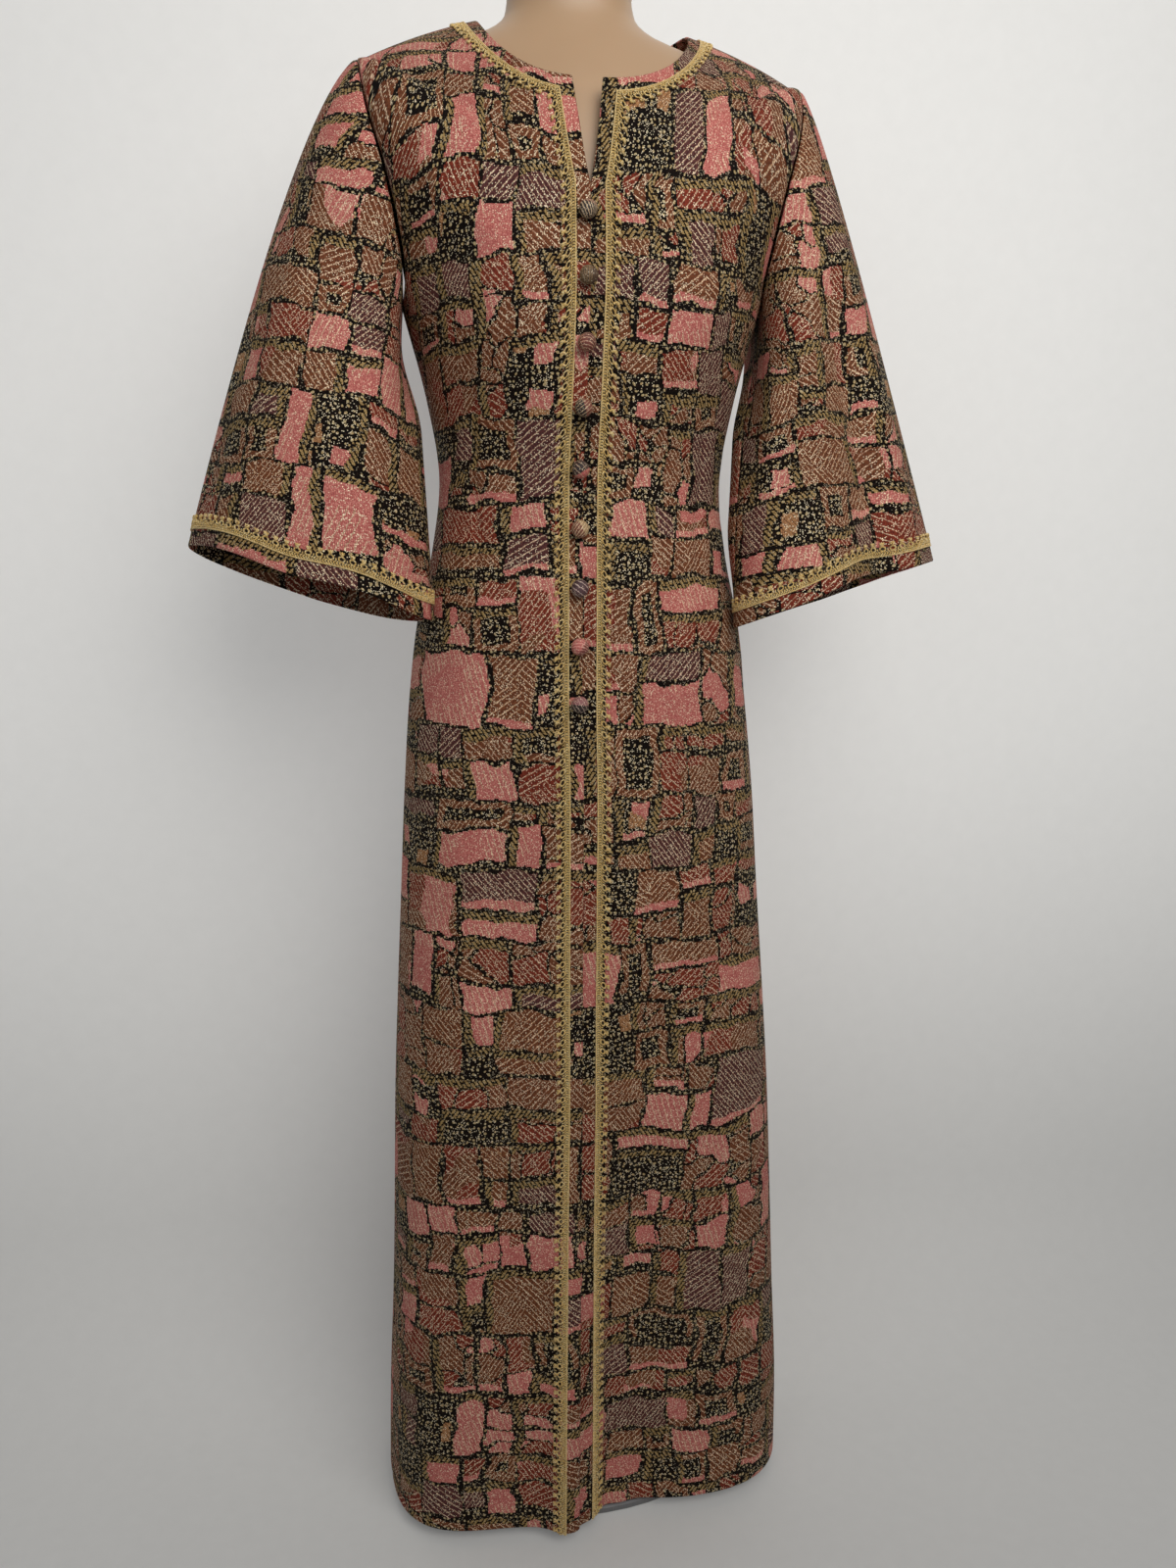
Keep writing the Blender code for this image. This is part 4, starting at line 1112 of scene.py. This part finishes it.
class Nodes:
    """Short ways to add shader nodes; a socket or a plain value goes in as an argument."""

    def __init__(self, name):
        self.material = bpy.data.materials.new(name)
        self.material.use_nodes = True
        self.tree = self.material.node_tree
        self.shader = self.tree.nodes["Principled BSDF"]

    def put(self, socket, value):
        """Link a socket to another, or set a plain value on it."""
        if isinstance(value, bpy.types.NodeSocket):
            self.tree.links.new(value, socket)
        else:
            socket.default_value = value

    def look(self, name, value):
        """Link or set one socket of the shader."""
        self.put(self.shader.inputs[name], value)

    def math(self, operation, *values):
        """A number worked out from others."""
        node = self.tree.nodes.new("ShaderNodeMath")
        node.operation = operation
        for socket, value in zip(node.inputs, values):
            self.put(socket, value)
        return node.outputs[0]

    def vector(self, operation, *values):
        """A vector, length or dot product from others."""
        node = self.tree.nodes.new("ShaderNodeVectorMath")
        node.operation = operation
        for socket, value in zip(node.inputs, values):
            self.put(socket, value)
        return node.outputs["Value"] if operation in ("LENGTH", "DOT_PRODUCT") else node.outputs[0]

    def scale(self, vector, factor):
        """A vector or colour times a number."""
        node = self.tree.nodes.new("ShaderNodeVectorMath")
        node.operation = "SCALE"
        self.put(node.inputs[0], vector)
        self.put(node.inputs["Scale"], factor)
        return node.outputs[0]

    def mix(self, factor, a, b):
        """One colour, or another where the factor is 1."""
        node = self.tree.nodes.new("ShaderNodeMix")
        node.data_type = "RGBA"
        self.put(node.inputs["Factor"], factor)
        self.put(node.inputs[6], a)
        self.put(node.inputs[7], b)
        return node.outputs[2]

    def noise(self, vector, scale, detail=2.0, colour=False, dimensions="2D"):
        """Cloudy values from 0 to 1."""
        node = self.tree.nodes.new("ShaderNodeTexNoise")
        node.noise_dimensions = dimensions
        self.put(node.inputs["Vector"], vector)
        node.inputs["Scale"].default_value = scale
        node.inputs["Detail"].default_value = detail
        return node.outputs["Color" if colour else "Fac"]

    def white(self, vector, colour=False):
        """A chance value or colour for each place."""
        node = self.tree.nodes.new("ShaderNodeTexWhiteNoise")
        node.noise_dimensions = "2D"
        self.put(node.inputs["Vector"], vector)
        return node.outputs["Color" if colour else "Value"]

    def cells(self, vector, scale, feature, metric, randomness):
        """Cells round scattered points."""
        node = self.tree.nodes.new("ShaderNodeTexVoronoi")
        node.voronoi_dimensions = "2D"
        node.feature = feature
        node.distance = metric
        self.put(node.inputs["Vector"], vector)
        node.inputs["Scale"].default_value = scale
        node.inputs["Randomness"].default_value = randomness
        return node.outputs

    def split(self, vector):
        """The three parts of a vector or colour."""
        node = self.tree.nodes.new("ShaderNodeSeparateXYZ")
        self.put(node.inputs[0], vector)
        return node.outputs

    def join(self, x, y):
        """A vector from two parts."""
        node = self.tree.nodes.new("ShaderNodeCombineXYZ")
        self.put(node.inputs[0], x)
        self.put(node.inputs[1], y)
        return node.outputs[0]

    def add(self, a, b):
        """One value and another."""
        return self.math("ADD", a, b)

    def sub(self, a, b):
        """One value less another."""
        return self.math("SUBTRACT", a, b)

    def mul(self, a, b):
        """One value times another."""
        return self.math("MULTIPLY", a, b)

    def div(self, a, b):
        """One value over another."""
        return self.math("DIVIDE", a, b)

    def rest(self, value):
        """What a value has over its whole number."""
        return self.math("FRACT", value)

    def wave(self, value, pitch):
        """Humps from 0 to 1, one on each pitch."""
        return self.math("ABSOLUTE", self.math("SINE", self.mul(value, math.pi / pitch)))

    def squares(self, vector, size):
        """The count of the small square that a place lies in, both ways."""
        return self.vector("FLOOR", self.scale(vector, 1 / size))

    def above(self, value, limit):
        """1 where a value is over a limit, or else 0."""
        return self.math("GREATER_THAN", value, limit)

    def below(self, value, limit):
        """1 where a value is under a limit, or else 0."""
        return self.math("LESS_THAN", value, limit)

    def between(self, value, low, high):
        """1 where a value lies between two limits, or else 0."""
        return self.mul(self.above(value, low), self.below(value, high))

    def place(self):
        """Where a point of the object is, in metres."""
        return self.tree.nodes.new("ShaderNodeTexCoord").outputs["Object"]

    def uv(self):
        """Where a point of the cloth or yarn is, in metres."""
        node = self.tree.nodes.new("ShaderNodeUVMap")
        node.uv_map = "cloth"
        return node.outputs[0]

    def bump(self, height, distance, strength):
        """A surface that seems raised."""
        node = self.tree.nodes.new("ShaderNodeBump")
        node.inputs["Strength"].default_value = strength
        node.inputs["Distance"].default_value = distance
        self.put(node.inputs["Height"], height)
        return node.outputs[0]


KNIT = 0.00135
STITCH = 0.00070
BLOCK_WIDTH = 0.072
BLOCK_HEIGHT = 0.066
SMALL_BLOCK = 0.032
WARPS = ((12.0, 0.020), (42.0, 0.010), (300.0, 0.0014))
GROUND = linear(11, 6, 4)
GROUND_FLECK = linear(38, 24, 16)
DOT = linear(196, 180, 142)
BEAD_DIM = linear(150, 104, 80)
BEAD_BRIGHT = linear(255, 228, 194)
PAINTED_GLINT = linear(255, 240, 208)
PINK = linear(182, 98, 92)
PINK_FLECK = linear(214, 140, 128)
RUST = linear(132, 54, 38)
RUST_DARK = linear(96, 40, 32)
BROWN = linear(122, 71, 46)
BROWN_DARK = linear(88, 49, 33)
PLUM = linear(94, 54, 52)
PLUM_DARK = linear(62, 36, 38)
OLIVE = linear(172, 144, 94)
OLIVE_DARK = linear(120, 94, 58)
TAN = linear(178, 130, 88)
TAN_DARK = linear(134, 94, 66)


def knit_material(name):
    """Metallic patchwork knit: warped blocks of hatched, plain, barred and dotted yarn."""
    n = Nodes(name)
    uv = n.vector("ADD", n.uv(), (3.0, 5.0, 0.0))
    parts = n.split(uv)
    grid = n.scale(n.squares(uv, KNIT), KNIT)
    stitches = n.squares(uv, STITCH)
    stepped = n.split(n.scale(stitches, STITCH))
    place = grid
    for size, reach in WARPS:
        wander = n.vector("SUBTRACT", n.noise(grid, size, 1.0, True), (0.5, 0.5, 0.5))
        place = n.vector("ADD", place, n.scale(wander, reach))

    # Staggered rows of oblong blocks, each parted once across and once upward in some way
    spot = n.split(place)
    row = n.math("FLOOR", n.div(spot[1], BLOCK_HEIGHT))
    slide = n.white(n.join(row, 7.0))
    shifted = n.add(n.div(spot[0], BLOCK_WIDTH), n.mul(slide, 3.0))
    column = n.math("FLOOR", shifted)
    chance = n.split(n.white(n.join(column, row), True))
    other_chance = n.split(n.white(n.join(n.add(column, 31.0), n.add(row, 53.0)), True))

    def parted(share, where, done, length):
        """The part of a block that a place is in, and how far off its two sides are."""
        cut = n.add(0.34, n.mul(where, 0.32))
        beyond = n.above(n.sub(share, cut), 0.0)
        start = n.mul(n.mul(done, beyond), cut)
        left_out = n.mul(n.sub(1.0, beyond), n.sub(1.0, cut))
        end = n.sub(1.0, n.mul(done, left_out))
        low = n.mul(n.sub(share, start), length)
        high = n.mul(n.sub(end, share), length)
        return n.mul(done, beyond), low, high

    half_x, from_left, from_right = parted(
        n.rest(shifted), chance[0], n.above(other_chance[0], 0.22), BLOCK_WIDTH
    )
    half_y, from_low, from_top = parted(
        n.rest(n.div(spot[1], BLOCK_HEIGHT)), chance[1],
        n.above(other_chance[1], 0.22), BLOCK_HEIGHT,
    )
    cell = n.join(
        n.add(n.mul(column, 2.0), n.add(half_x, 0.5)),
        n.add(n.mul(row, 2.0), n.add(half_y, 0.5)),
    )
    kind = n.split(n.white(cell, True))
    trim = n.split(n.white(n.vector("ADD", cell, (77.0, 19.0, 0.0)), True))
    edge = n.math(
        "MINIMUM", n.math("MINIMUM", from_left, from_right), n.math("MINIMUM", from_low, from_top)
    )
    small = n.cells(place, 1 / SMALL_BLOCK, "F1", "CHEBYCHEV", 0.85)
    small_next = n.cells(place, 1 / SMALL_BLOCK, "F2", "CHEBYCHEV", 0.85)
    small_edge = n.sub(small_next["Distance"], small["Distance"])
    small_kind = n.split(small["Color"])

    # Pale lines, as rows of beads, in a direction of each block's own
    bead = n.white(n.squares(uv, 0.0011))
    ripple = n.mul(n.sub(n.noise(uv, 230.0, 1.0), 0.5), 0.0018)

    def lines(tilt, lean, pitch, share):
        """1 on a block's beaded lines, or else 0."""
        slope = n.sub(n.mul(n.above(lean, 0.5), 2.0), 1.0)
        slope = n.mul(slope, n.add(0.55, n.mul(tilt, 1.1)))
        run = n.add(n.add(stepped[1], n.mul(stepped[0], slope)), ripple)
        return n.below(n.rest(n.div(run, pitch)), share)

    small_lines = lines(small_kind[1], small_kind[2], 0.0066, 0.155)
    large_lines = lines(kind[1], kind[2], 0.0062, 0.17)
    steep = n.add(n.add(stepped[0], n.mul(stepped[1], 0.32)), ripple)
    steep_lines = n.below(n.rest(n.div(steep, 0.0056)), 0.16)
    steep_lines = n.mul(steep_lines, n.above(small_kind[2], 0.45))

    # Short bars for borders and dots for the dark ground
    lean = n.sub(n.mul(n.above(kind[2], 0.5), 1.3), 0.65)
    lane = n.div(n.add(stepped[0], n.mul(stepped[1], lean)), 0.0042)
    bar = n.below(n.rest(lane), 0.62)
    offset = n.add(n.div(stepped[1], 0.0094), n.mul(n.math("FLOOR", lane), 0.43))
    bar = n.mul(bar, n.below(n.rest(offset), 0.80))
    strewn = n.vector("ADD", uv, n.scale(n.noise(uv, 120.0, 0.0, True), 0.003))
    dots = n.cells(strewn, 1 / 0.0052, "F1", "EUCLIDEAN", 0.60)
    dot = n.below(dots["Distance"], 0.225)
    dot = n.mul(dot, n.above(n.split(dots["Color"])[0], 0.10))

    grain = n.white(stitches)
    fleck = n.above(grain, 0.68)
    thread = n.mix(bead, BEAD_DIM, BEAD_BRIGHT)
    dark = n.mix(n.above(grain, 0.80), GROUND, GROUND_FLECK)
    dotted = n.mix(dot, dark, n.mix(bead, OLIVE, DOT))
    barred = n.mix(bar, dark, n.mix(fleck, OLIVE, OLIVE_DARK))
    pink = n.mix(n.above(grain, 0.62), PINK, PINK_FLECK)
    pink = n.mix(steep_lines, pink, thread)
    browns = n.mix(fleck, BROWN, BROWN_DARK)
    rust = n.mix(n.above(small_kind[0], 0.52), n.mix(fleck, RUST, RUST_DARK), browns)
    rust = n.mix(small_lines, rust, thread)
    rust = n.mix(n.above(small_kind[1], 0.86), rust, pink)
    crack = n.mul(n.below(small_edge, 0.07), n.above(trim[1], 0.45))
    rust = n.mix(crack, rust, dotted)
    brown = n.mix(small_lines, browns, n.mix(bead, TAN, BEAD_BRIGHT))
    plum = n.mix(large_lines, n.mix(fleck, PLUM, PLUM_DARK), thread)
    tan = n.mix(large_lines, n.mix(fleck, TAN, TAN_DARK), n.mix(bead, TAN_DARK, BROWN_DARK))
    island = n.mul(n.below(small["Distance"], 0.27), n.above(small_kind[0], 0.55))
    island_fill = n.mix(n.above(small_kind[1], 0.4), pink, tan)
    spotted = n.mix(island, dotted, island_fill)
    core = n.mul(n.above(edge, 0.0085), n.above(kind[2], 0.55))
    brown = n.mix(core, brown, dotted)

    fill = rust
    for low, high, colour in (
        (0.45, 0.60, pink), (0.60, 0.80, brown), (0.80, 0.90, plum), (0.90, 1.01, spotted),
    ):
        fill = n.mix(n.between(kind[0], low, high), fill, colour)

    # Barred borders along the top and one side of some blocks, as an angle, with a pink one inside
    top_band = n.mul(n.below(from_top, 0.0090), n.above(trim[0], 0.64))
    side_band = n.mul(n.below(from_left, 0.0085), n.above(trim[1], 0.72))
    band = n.math("MAXIMUM", top_band, side_band)
    inner = n.mul(n.between(from_low, 0.0, 0.0085), n.above(trim[2], 0.66))
    fill = n.mix(inner, fill, n.mix(n.above(trim[0], 0.5), pink, dotted))
    fill = n.mix(band, fill, barred)
    rim = n.add(edge, n.mul(n.sub(n.noise(grid, 45.0, 1.0), 0.5), 0.0050))
    ground = n.below(rim, n.add(0.0012, n.mul(trim[2], 0.0020)))
    fill = n.mix(ground, fill, dotted)

    # Lurex: single stitches, metallic and shinier, whose bright colour is a painted glint; then painted
    # shade between the stitches
    painted_glint = n.above(n.white(n.vector("ADD", stitches, (41.0, 7.0, 0.0))), 0.925)
    painted_glint = n.mul(painted_glint, n.sub(1.0, n.mul(n.math("MAXIMUM", ground, band), 0.6)))
    colour = n.mix(n.mul(painted_glint, 0.9), fill, PAINTED_GLINT)
    wales = n.wave(parts[0], KNIT)
    courses = n.wave(parts[1], KNIT * 0.8)
    stitch = n.mul(wales, courses)
    # Painted shade: each stitch is darker where its bump is low, between the stitches
    shade = n.add(0.62, n.mul(stitch, 0.60))
    cloudy = n.add(0.84, n.mul(n.noise(uv, 14.0, 3.0), 0.32))
    n.look("Base Color", n.scale(colour, n.mul(shade, cloudy)))
    n.look("Metallic", n.mul(painted_glint, 0.5))
    n.look("Roughness", n.sub(0.80, n.mul(painted_glint, 0.40)))
    n.look("Specular IOR Level", 0.10)
    relief = n.add(n.mul(dot, n.mul(ground, 0.5)), n.mul(stitch, 0.6))
    n.look("Normal", n.bump(relief, 0.0006, 0.55))
    return n.material


def button_material(name, look):
    """The knit drawn tight over one button: two colours and a few pale lines."""
    n = Nodes(name)
    uv = n.uv()
    parts = n.split(uv)
    grain = n.white(n.squares(uv, STITCH))
    bend = n.mul(n.mul(parts[0], parts[0]), float(look.bend))
    bumpy = n.mul(n.sub(n.noise(uv, 400.0, 1.0), 0.5), 0.0016)

    def across(degrees):
        """How far a place lies in a direction."""
        angle = math.radians(degrees)
        along = n.mul(parts[0], math.cos(angle))
        return n.add(along, n.mul(parts[1], math.sin(angle)))

    split = n.above(n.add(across(look.split_turn), bumpy), look.split_at / 1000.0)
    run = n.add(n.add(across(look.line_turn), bend), bumpy)
    line = n.below(n.rest(n.div(run, look.pitch / 1000.0)), look.share)
    colour = n.mix(split, linear(*look.base), linear(*look.other))
    colour = n.mix(n.mul(n.above(grain, 0.7), 0.45), colour, linear(*[c * 0.6 for c in look.other]))
    colour = n.mix(n.mul(line, n.add(0.45, n.mul(grain, 0.5))), colour, linear(*look.line))
    # A few stitches, a little smoother, whose bright colour is a painted glint
    painted_glint = n.above(n.white(n.squares(uv, 0.0006)), 0.96)
    n.look("Base Color", n.mix(n.mul(painted_glint, 0.7), colour, PAINTED_GLINT))
    n.look("Roughness", n.sub(0.56, n.mul(painted_glint, 0.2)))
    n.look("Specular IOR Level", 0.5)
    wales = n.wave(run, KNIT)
    n.look("Normal", n.bump(wales, 0.0005, 0.5))
    return n.material


def gold_material():
    """Metallic crochet yarn, twisted: strands painted lighter on their crests with painted shade in the
    grooves, bright grains as painted glints, random dark grains, and a dark sheet beneath as painted shade
    in the holes.
    """
    n = Nodes("gold_crochet")
    uv = n.uv()
    parts = n.split(uv)
    yarn = n.add(parts[0], n.mul(parts[1], 0.9))
    strand = n.wave(yarn, 0.00062)
    grain = n.white(n.squares(uv, 0.00055))
    # Painted shade: each twisted strand is lighter on the crest of its bump and darker in the grooves
    colour = n.mix(strand, linear(198, 158, 88), linear(250, 216, 138))
    # Bright grains are painted glints; the dark grains after them are random tone
    colour = n.mix(n.above(grain, 0.78), colour, linear(255, 238, 190))
    colour = n.mix(n.below(grain, 0.16), colour, linear(128, 90, 46))
    cord = n.below(parts[1], 0.0018)
    colour = n.mix(n.mul(cord, 0.35), colour, linear(250, 220, 158))
    # The flat sheet under the braid is painted dark: painted shade in the braid's holes
    shade_sheet = n.above(parts[1], SHADE_SHEET_FLAG / 2)
    colour = n.mix(shade_sheet, colour, linear(40, 25, 15))
    n.look("Base Color", colour)
    n.look("Metallic", 0.15)
    n.look("Roughness", n.add(0.34, n.mul(grain, 0.3)))
    n.look("Normal", n.bump(strand, 0.0004, 0.7))
    return n.material


def plastic_material():
    """Tan moulded plastic with a soft shine and the faintest mottling."""
    n = Nodes("tan_plastic")
    place = n.place()
    cloud = n.noise(place, 9.0, 4.0, dimensions="3D")
    fine = n.noise(place, 700.0, dimensions="3D")
    colour = n.mix(cloud, linear(172, 142, 112), linear(184, 153, 122))
    n.look("Base Color", colour)
    n.look("Roughness", n.add(0.34, n.mul(cloud, 0.14)))
    n.look("Normal", n.bump(fine, 0.0002, 0.25))
    n.look("Subsurface Weight", 0.05)
    return n.material


def steel_material():
    """Satin steel, with fine marks along the pole."""
    n = Nodes("satin_steel")
    stretch = n.vector("MULTIPLY", n.place(), (900.0, 900.0, 12.0))
    marks = n.noise(stretch, 1.0, dimensions="3D")
    colour = n.mix(marks, (0.16, 0.16, 0.165, 1.0), (0.26, 0.26, 0.265, 1.0))
    n.look("Base Color", colour)
    n.look("Metallic", 0.6)
    n.look("Roughness", n.add(0.50, n.mul(marks, 0.2)))
    return n.material


# The form's level sections, as the solid has them, and a smooth skin over them
Form = namedtuple("Form", "height half_width front_depth back_depth centre_x centre_y")
FORM_SECTIONS = (
    Form(0.770, 0.100, 0.050, 0.060, 0.000, 0.010),
    Form(0.774, 0.122, 0.064, 0.080, 0.000, 0.010),
    Form(0.785, 0.138, 0.076, 0.096, 0.000, 0.010),
    Form(0.805, 0.148, 0.084, 0.105, 0.000, 0.008),
    Form(0.850, 0.150, 0.088, 0.108, 0.000, 0.006),
    Form(0.907, 0.144, 0.088, 0.100, 0.000, 0.004),
    Form(0.980, 0.128, 0.086, 0.082, 0.000, 0.002),
    Form(1.045, 0.120, 0.086, 0.073, 0.000, 0.000),
    Form(1.110, 0.130, 0.096, 0.080, 0.000, 0.000),
    Form(1.190, 0.150, 0.104, 0.094, 0.000, 0.000),
    Form(1.250, 0.150, 0.102, 0.099, 0.000, 0.000),
    Form(1.300, 0.156, 0.094, 0.096, 0.000, 0.001),
    Form(1.340, 0.165, 0.082, 0.087, -0.001, 0.002),
    Form(1.365, 0.170, 0.073, 0.077, -0.002, 0.004),
    Form(1.385, 0.164, 0.064, 0.066, -0.003, 0.006),
    Form(1.398, 0.146, 0.058, 0.058, -0.005, 0.008),
    Form(1.410, 0.118, 0.053, 0.052, -0.007, 0.010),
    Form(1.422, 0.084, 0.049, 0.048, -0.009, 0.012),
    Form(1.435, 0.064, 0.046, 0.047, -0.010, 0.014),
    Form(1.455, 0.056, 0.045, 0.046, -0.011, 0.015),
    Form(1.498, 0.055, 0.045, 0.046, -0.011, 0.016),
    Form(1.500, 0.052, 0.042, 0.043, -0.011, 0.016),
)
FORM_SIDES = 112
FORM_STEP = 0.006
FORM_CAP_INSETS = (0.85, 0.5, 0.15)


def add_form(material):
    """A smooth limbless form; its sections are the solid's."""
    heights = [FORM_SECTIONS[0].height]
    for row in FORM_SECTIONS[1:]:
        steps = max(1, int(round((row.height - heights[-1]) / FORM_STEP)))
        heights += list(np.linspace(heights[-1], row.height, steps + 1)[1:])
    heights = np.array(heights)
    column = {name: read(FORM_SECTIONS, name, heights)[:, None] for name in Form._fields[1:]}
    angles = (2 * math.pi * np.arange(FORM_SIDES) / FORM_SIDES)[None]
    depth = np.where(np.sin(angles) < 0, column["front_depth"], column["back_depth"])
    rings = np.stack(
        [
            column["centre_x"] + column["half_width"] * np.cos(angles),
            column["centre_y"] + depth * np.sin(angles),
            heights[:, None] + 0 * angles,
        ],
        -1,
    )
    middle_low = rings[0].mean(axis=0)
    middle_top = rings[-1].mean(axis=0)
    low = [middle_low + (rings[0] - middle_low) * share for share in FORM_CAP_INSETS[::-1]]
    top = [middle_top + (rings[-1] - middle_top) * share for share in FORM_CAP_INSETS]
    rings = np.concatenate([low, rings, top])
    faces = ring_faces(len(rings), FORM_SIDES)
    verts = rings.reshape(-1, 3)
    form = repeat_mesh("dress_form", verts, faces, 1, False, verts[:, [0, 2]])
    hand_in(form, material, "form_torso")


def dress_stand(steel):
    """Give the solid pole and base plate their steel."""
    for name in ("stand_pole", "stand_base"):
        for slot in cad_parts[name].material_slots:
            slot.material = steel


# Studio

# The stage glows though it is no lamp: painted light, rising smoothly from the floor to GLOW_TOP and
# brighter higher up
GLOW_LOW = 0.10
GLOW_HIGH = 0.27
GLOW_TOP = 0.9
GLOW_COLOUR = (1.0, 1.0, 0.985, 1.0)
WALL_Y = 0.240
WALL_HEIGHT = 3.2
SWEEP_RADIUS = 0.18
SWEEP_STEPS = 12
FLOOR_HALF_WIDTH = 3.2
FLOOR_FRONT = -3.4
FLOOR_DROP = 0.0004


def add_stage():
    """A pale floor that sweeps up into a wall close behind the dress; it glows as painted light, more
    strongly higher up.
    """
    start = WALL_Y - SWEEP_RADIUS
    profile = [(FLOOR_FRONT, 0.0), (FLOOR_FRONT * 0.5, 0.0), (start, 0.0)]
    for step in range(1, SWEEP_STEPS + 1):
        angle = math.pi / 2 * step / SWEEP_STEPS
        profile.append((start + SWEEP_RADIUS * math.sin(angle), SWEEP_RADIUS * (1 - math.cos(angle))))
    profile.append((WALL_Y, WALL_HEIGHT))
    verts = []
    for x in (-FLOOR_HALF_WIDTH, FLOOR_HALF_WIDTH):
        verts += [(x, y, z - FLOOR_DROP) for y, z in profile]
    count = len(profile)
    faces = [(i, count + i, count + i + 1, i + 1) for i in range(count - 1)]
    stage = mesh_object("studio_sweep", verts, faces)
    n = Nodes("pale_paint_with_painted_glow")
    place = n.place()
    grain = n.noise(place, 60.0, 5.0, dimensions="3D")
    n.look("Base Color", n.mix(grain, (0.58, 0.58, 0.57, 1), (0.62, 0.62, 0.61, 1)))
    # Painted light: the paint glows, more strongly higher up
    n.look("Emission Color", GLOW_COLOUR)
    height = n.split(place)[2]
    rise = n.tree.nodes.new("ShaderNodeMapRange")
    rise.interpolation_type = "SMOOTHSTEP"
    n.put(rise.inputs["Value"], height)
    ends = {"From Min": 0.0, "From Max": GLOW_TOP, "To Min": GLOW_LOW, "To Max": GLOW_HIGH}
    for socket, value in ends.items():
        rise.inputs[socket].default_value = value
    n.look("Emission Strength", rise.outputs[0])
    n.look("Roughness", 0.85)
    n.look("Normal", n.bump(grain, 0.002, 0.12))
    # The wall is clear from behind, so that the back of the dress can be seen
    side_seen = n.tree.nodes.new("ShaderNodeNewGeometry")
    clear = n.tree.nodes.new("ShaderNodeBsdfTransparent")
    either = n.tree.nodes.new("ShaderNodeMixShader")
    n.put(either.inputs[0], side_seen.outputs["Backfacing"])
    n.put(either.inputs[1], n.shader.outputs[0])
    n.put(either.inputs[2], clear.outputs[0])
    n.put(n.tree.nodes["Material Output"].inputs["Surface"], either.outputs[0])
    stage.data.materials.append(n.material)


# A soft key high on the right of the picture, which leaves the hem darker, and a weak fill
Lamp = namedtuple("Lamp", "name place target size power colour")
LAMPS = (
    Lamp("key", (0.45, -1.40, 2.10), (0.12, 0.0, 1.36), 1.7, 11.8, (1.0, 0.97, 0.93)),
    Lamp("fill", (-1.3, -1.8, 1.7), (0.0, 0.0, 1.0), 1.2, 1.5, (0.96, 0.98, 1.0)),
)
LAMP_SPREAD = math.radians(95.0)
SKY_COLOUR = (0.95, 0.97, 1.0, 1.0)
SKY_STRENGTH = 0.09


def add_lights():
    """The two lamps, and a faint light from all round."""
    world = bpy.data.worlds.new("studio")
    bpy.context.scene.world = world
    world.use_nodes = True
    background = world.node_tree.nodes["Background"]
    background.inputs[0].default_value = SKY_COLOUR
    background.inputs[1].default_value = SKY_STRENGTH
    for lamp in LAMPS:
        light = bpy.data.lights.new(lamp.name, "AREA")
        light.shape = "RECTANGLE"
        light.size = lamp.size
        light.size_y = lamp.size
        light.energy = lamp.power
        light.spread = LAMP_SPREAD
        light.color = lamp.colour
        thing = put_in_scene(lamp.name, light)
        thing.location = lamp.place
        aim = Vector(lamp.target) - Vector(lamp.place)
        thing.rotation_euler = aim.to_track_quat("-Z", "Y").to_euler()


# Camera, fitted to the photo

CAMERA_PITCH = math.radians(10.0)
CAMERA_AZIMUTH = math.radians(8.0)
CAMERA_ROLL = math.radians(0.5)
CAMERA_DISTANCE = 1.14
CAMERA_HEIGHT = 0.955
FOCAL_PIXELS = 1200.0
AXIS_PIXELS = 10.0


def add_camera():
    """The photo's camera: where it stood, its lens, and how it was turned."""
    yaw = CAMERA_AZIMUTH + math.atan(AXIS_PIXELS / (FOCAL_PIXELS * math.cos(CAMERA_PITCH)))
    level_reach = math.cos(CAMERA_PITCH)
    forward = Vector((math.sin(yaw) * level_reach, math.cos(yaw) * level_reach, -math.sin(CAMERA_PITCH)))
    level = Vector((math.cos(yaw), -math.sin(yaw), 0.0))
    up = level.cross(forward)
    right = level * math.cos(CAMERA_ROLL) + up * math.sin(CAMERA_ROLL)
    up = up * math.cos(CAMERA_ROLL) - level * math.sin(CAMERA_ROLL)
    camera = bpy.data.cameras.new("camera")
    camera.sensor_fit = "VERTICAL"
    camera.sensor_height = 36.0
    camera.sensor_width = 27.0
    camera.lens = 27.0
    camera.clip_start = 0.05
    thing = put_in_scene("camera", camera)
    place = Vector((
        -CAMERA_DISTANCE * math.sin(CAMERA_AZIMUTH),
        -CAMERA_DISTANCE * math.cos(CAMERA_AZIMUTH),
        CAMERA_HEIGHT,
    ))
    turn = Matrix((right, up, -forward)).transposed().to_4x4()
    thing.matrix_world = Matrix.Translation(place) @ turn
    bpy.context.scene.camera = thing


# How wide and long a piece of cloth is before sewing, and its flat area
Cut = namedtuple("Cut", "width length area")


bpy.context.scene.view_settings.view_transform = "Standard"
add_camera()
cloth = knit_material("patchwork_knit")
gold = gold_material()
for face in ("front", "back"):
    for side in (-1, 1):
        shell = add_panel(face, side, cloth)
for side, word in ((-1, "right"), (1, "left")):
    outer, directions = sleeve_points(side)
    shell = add_sleeve(side, word, outer, cloth)
    cuff_braid(word, outer, directions, gold)
    centres, normals = strip_grid(side, "front_" + word)
    lay_braid("front_" + word, centres, normals, gold)
back_neck_braid(gold)
add_buttons()
add_form(plastic_material())
dress_stand(steel_material())
add_stage()
add_lights()
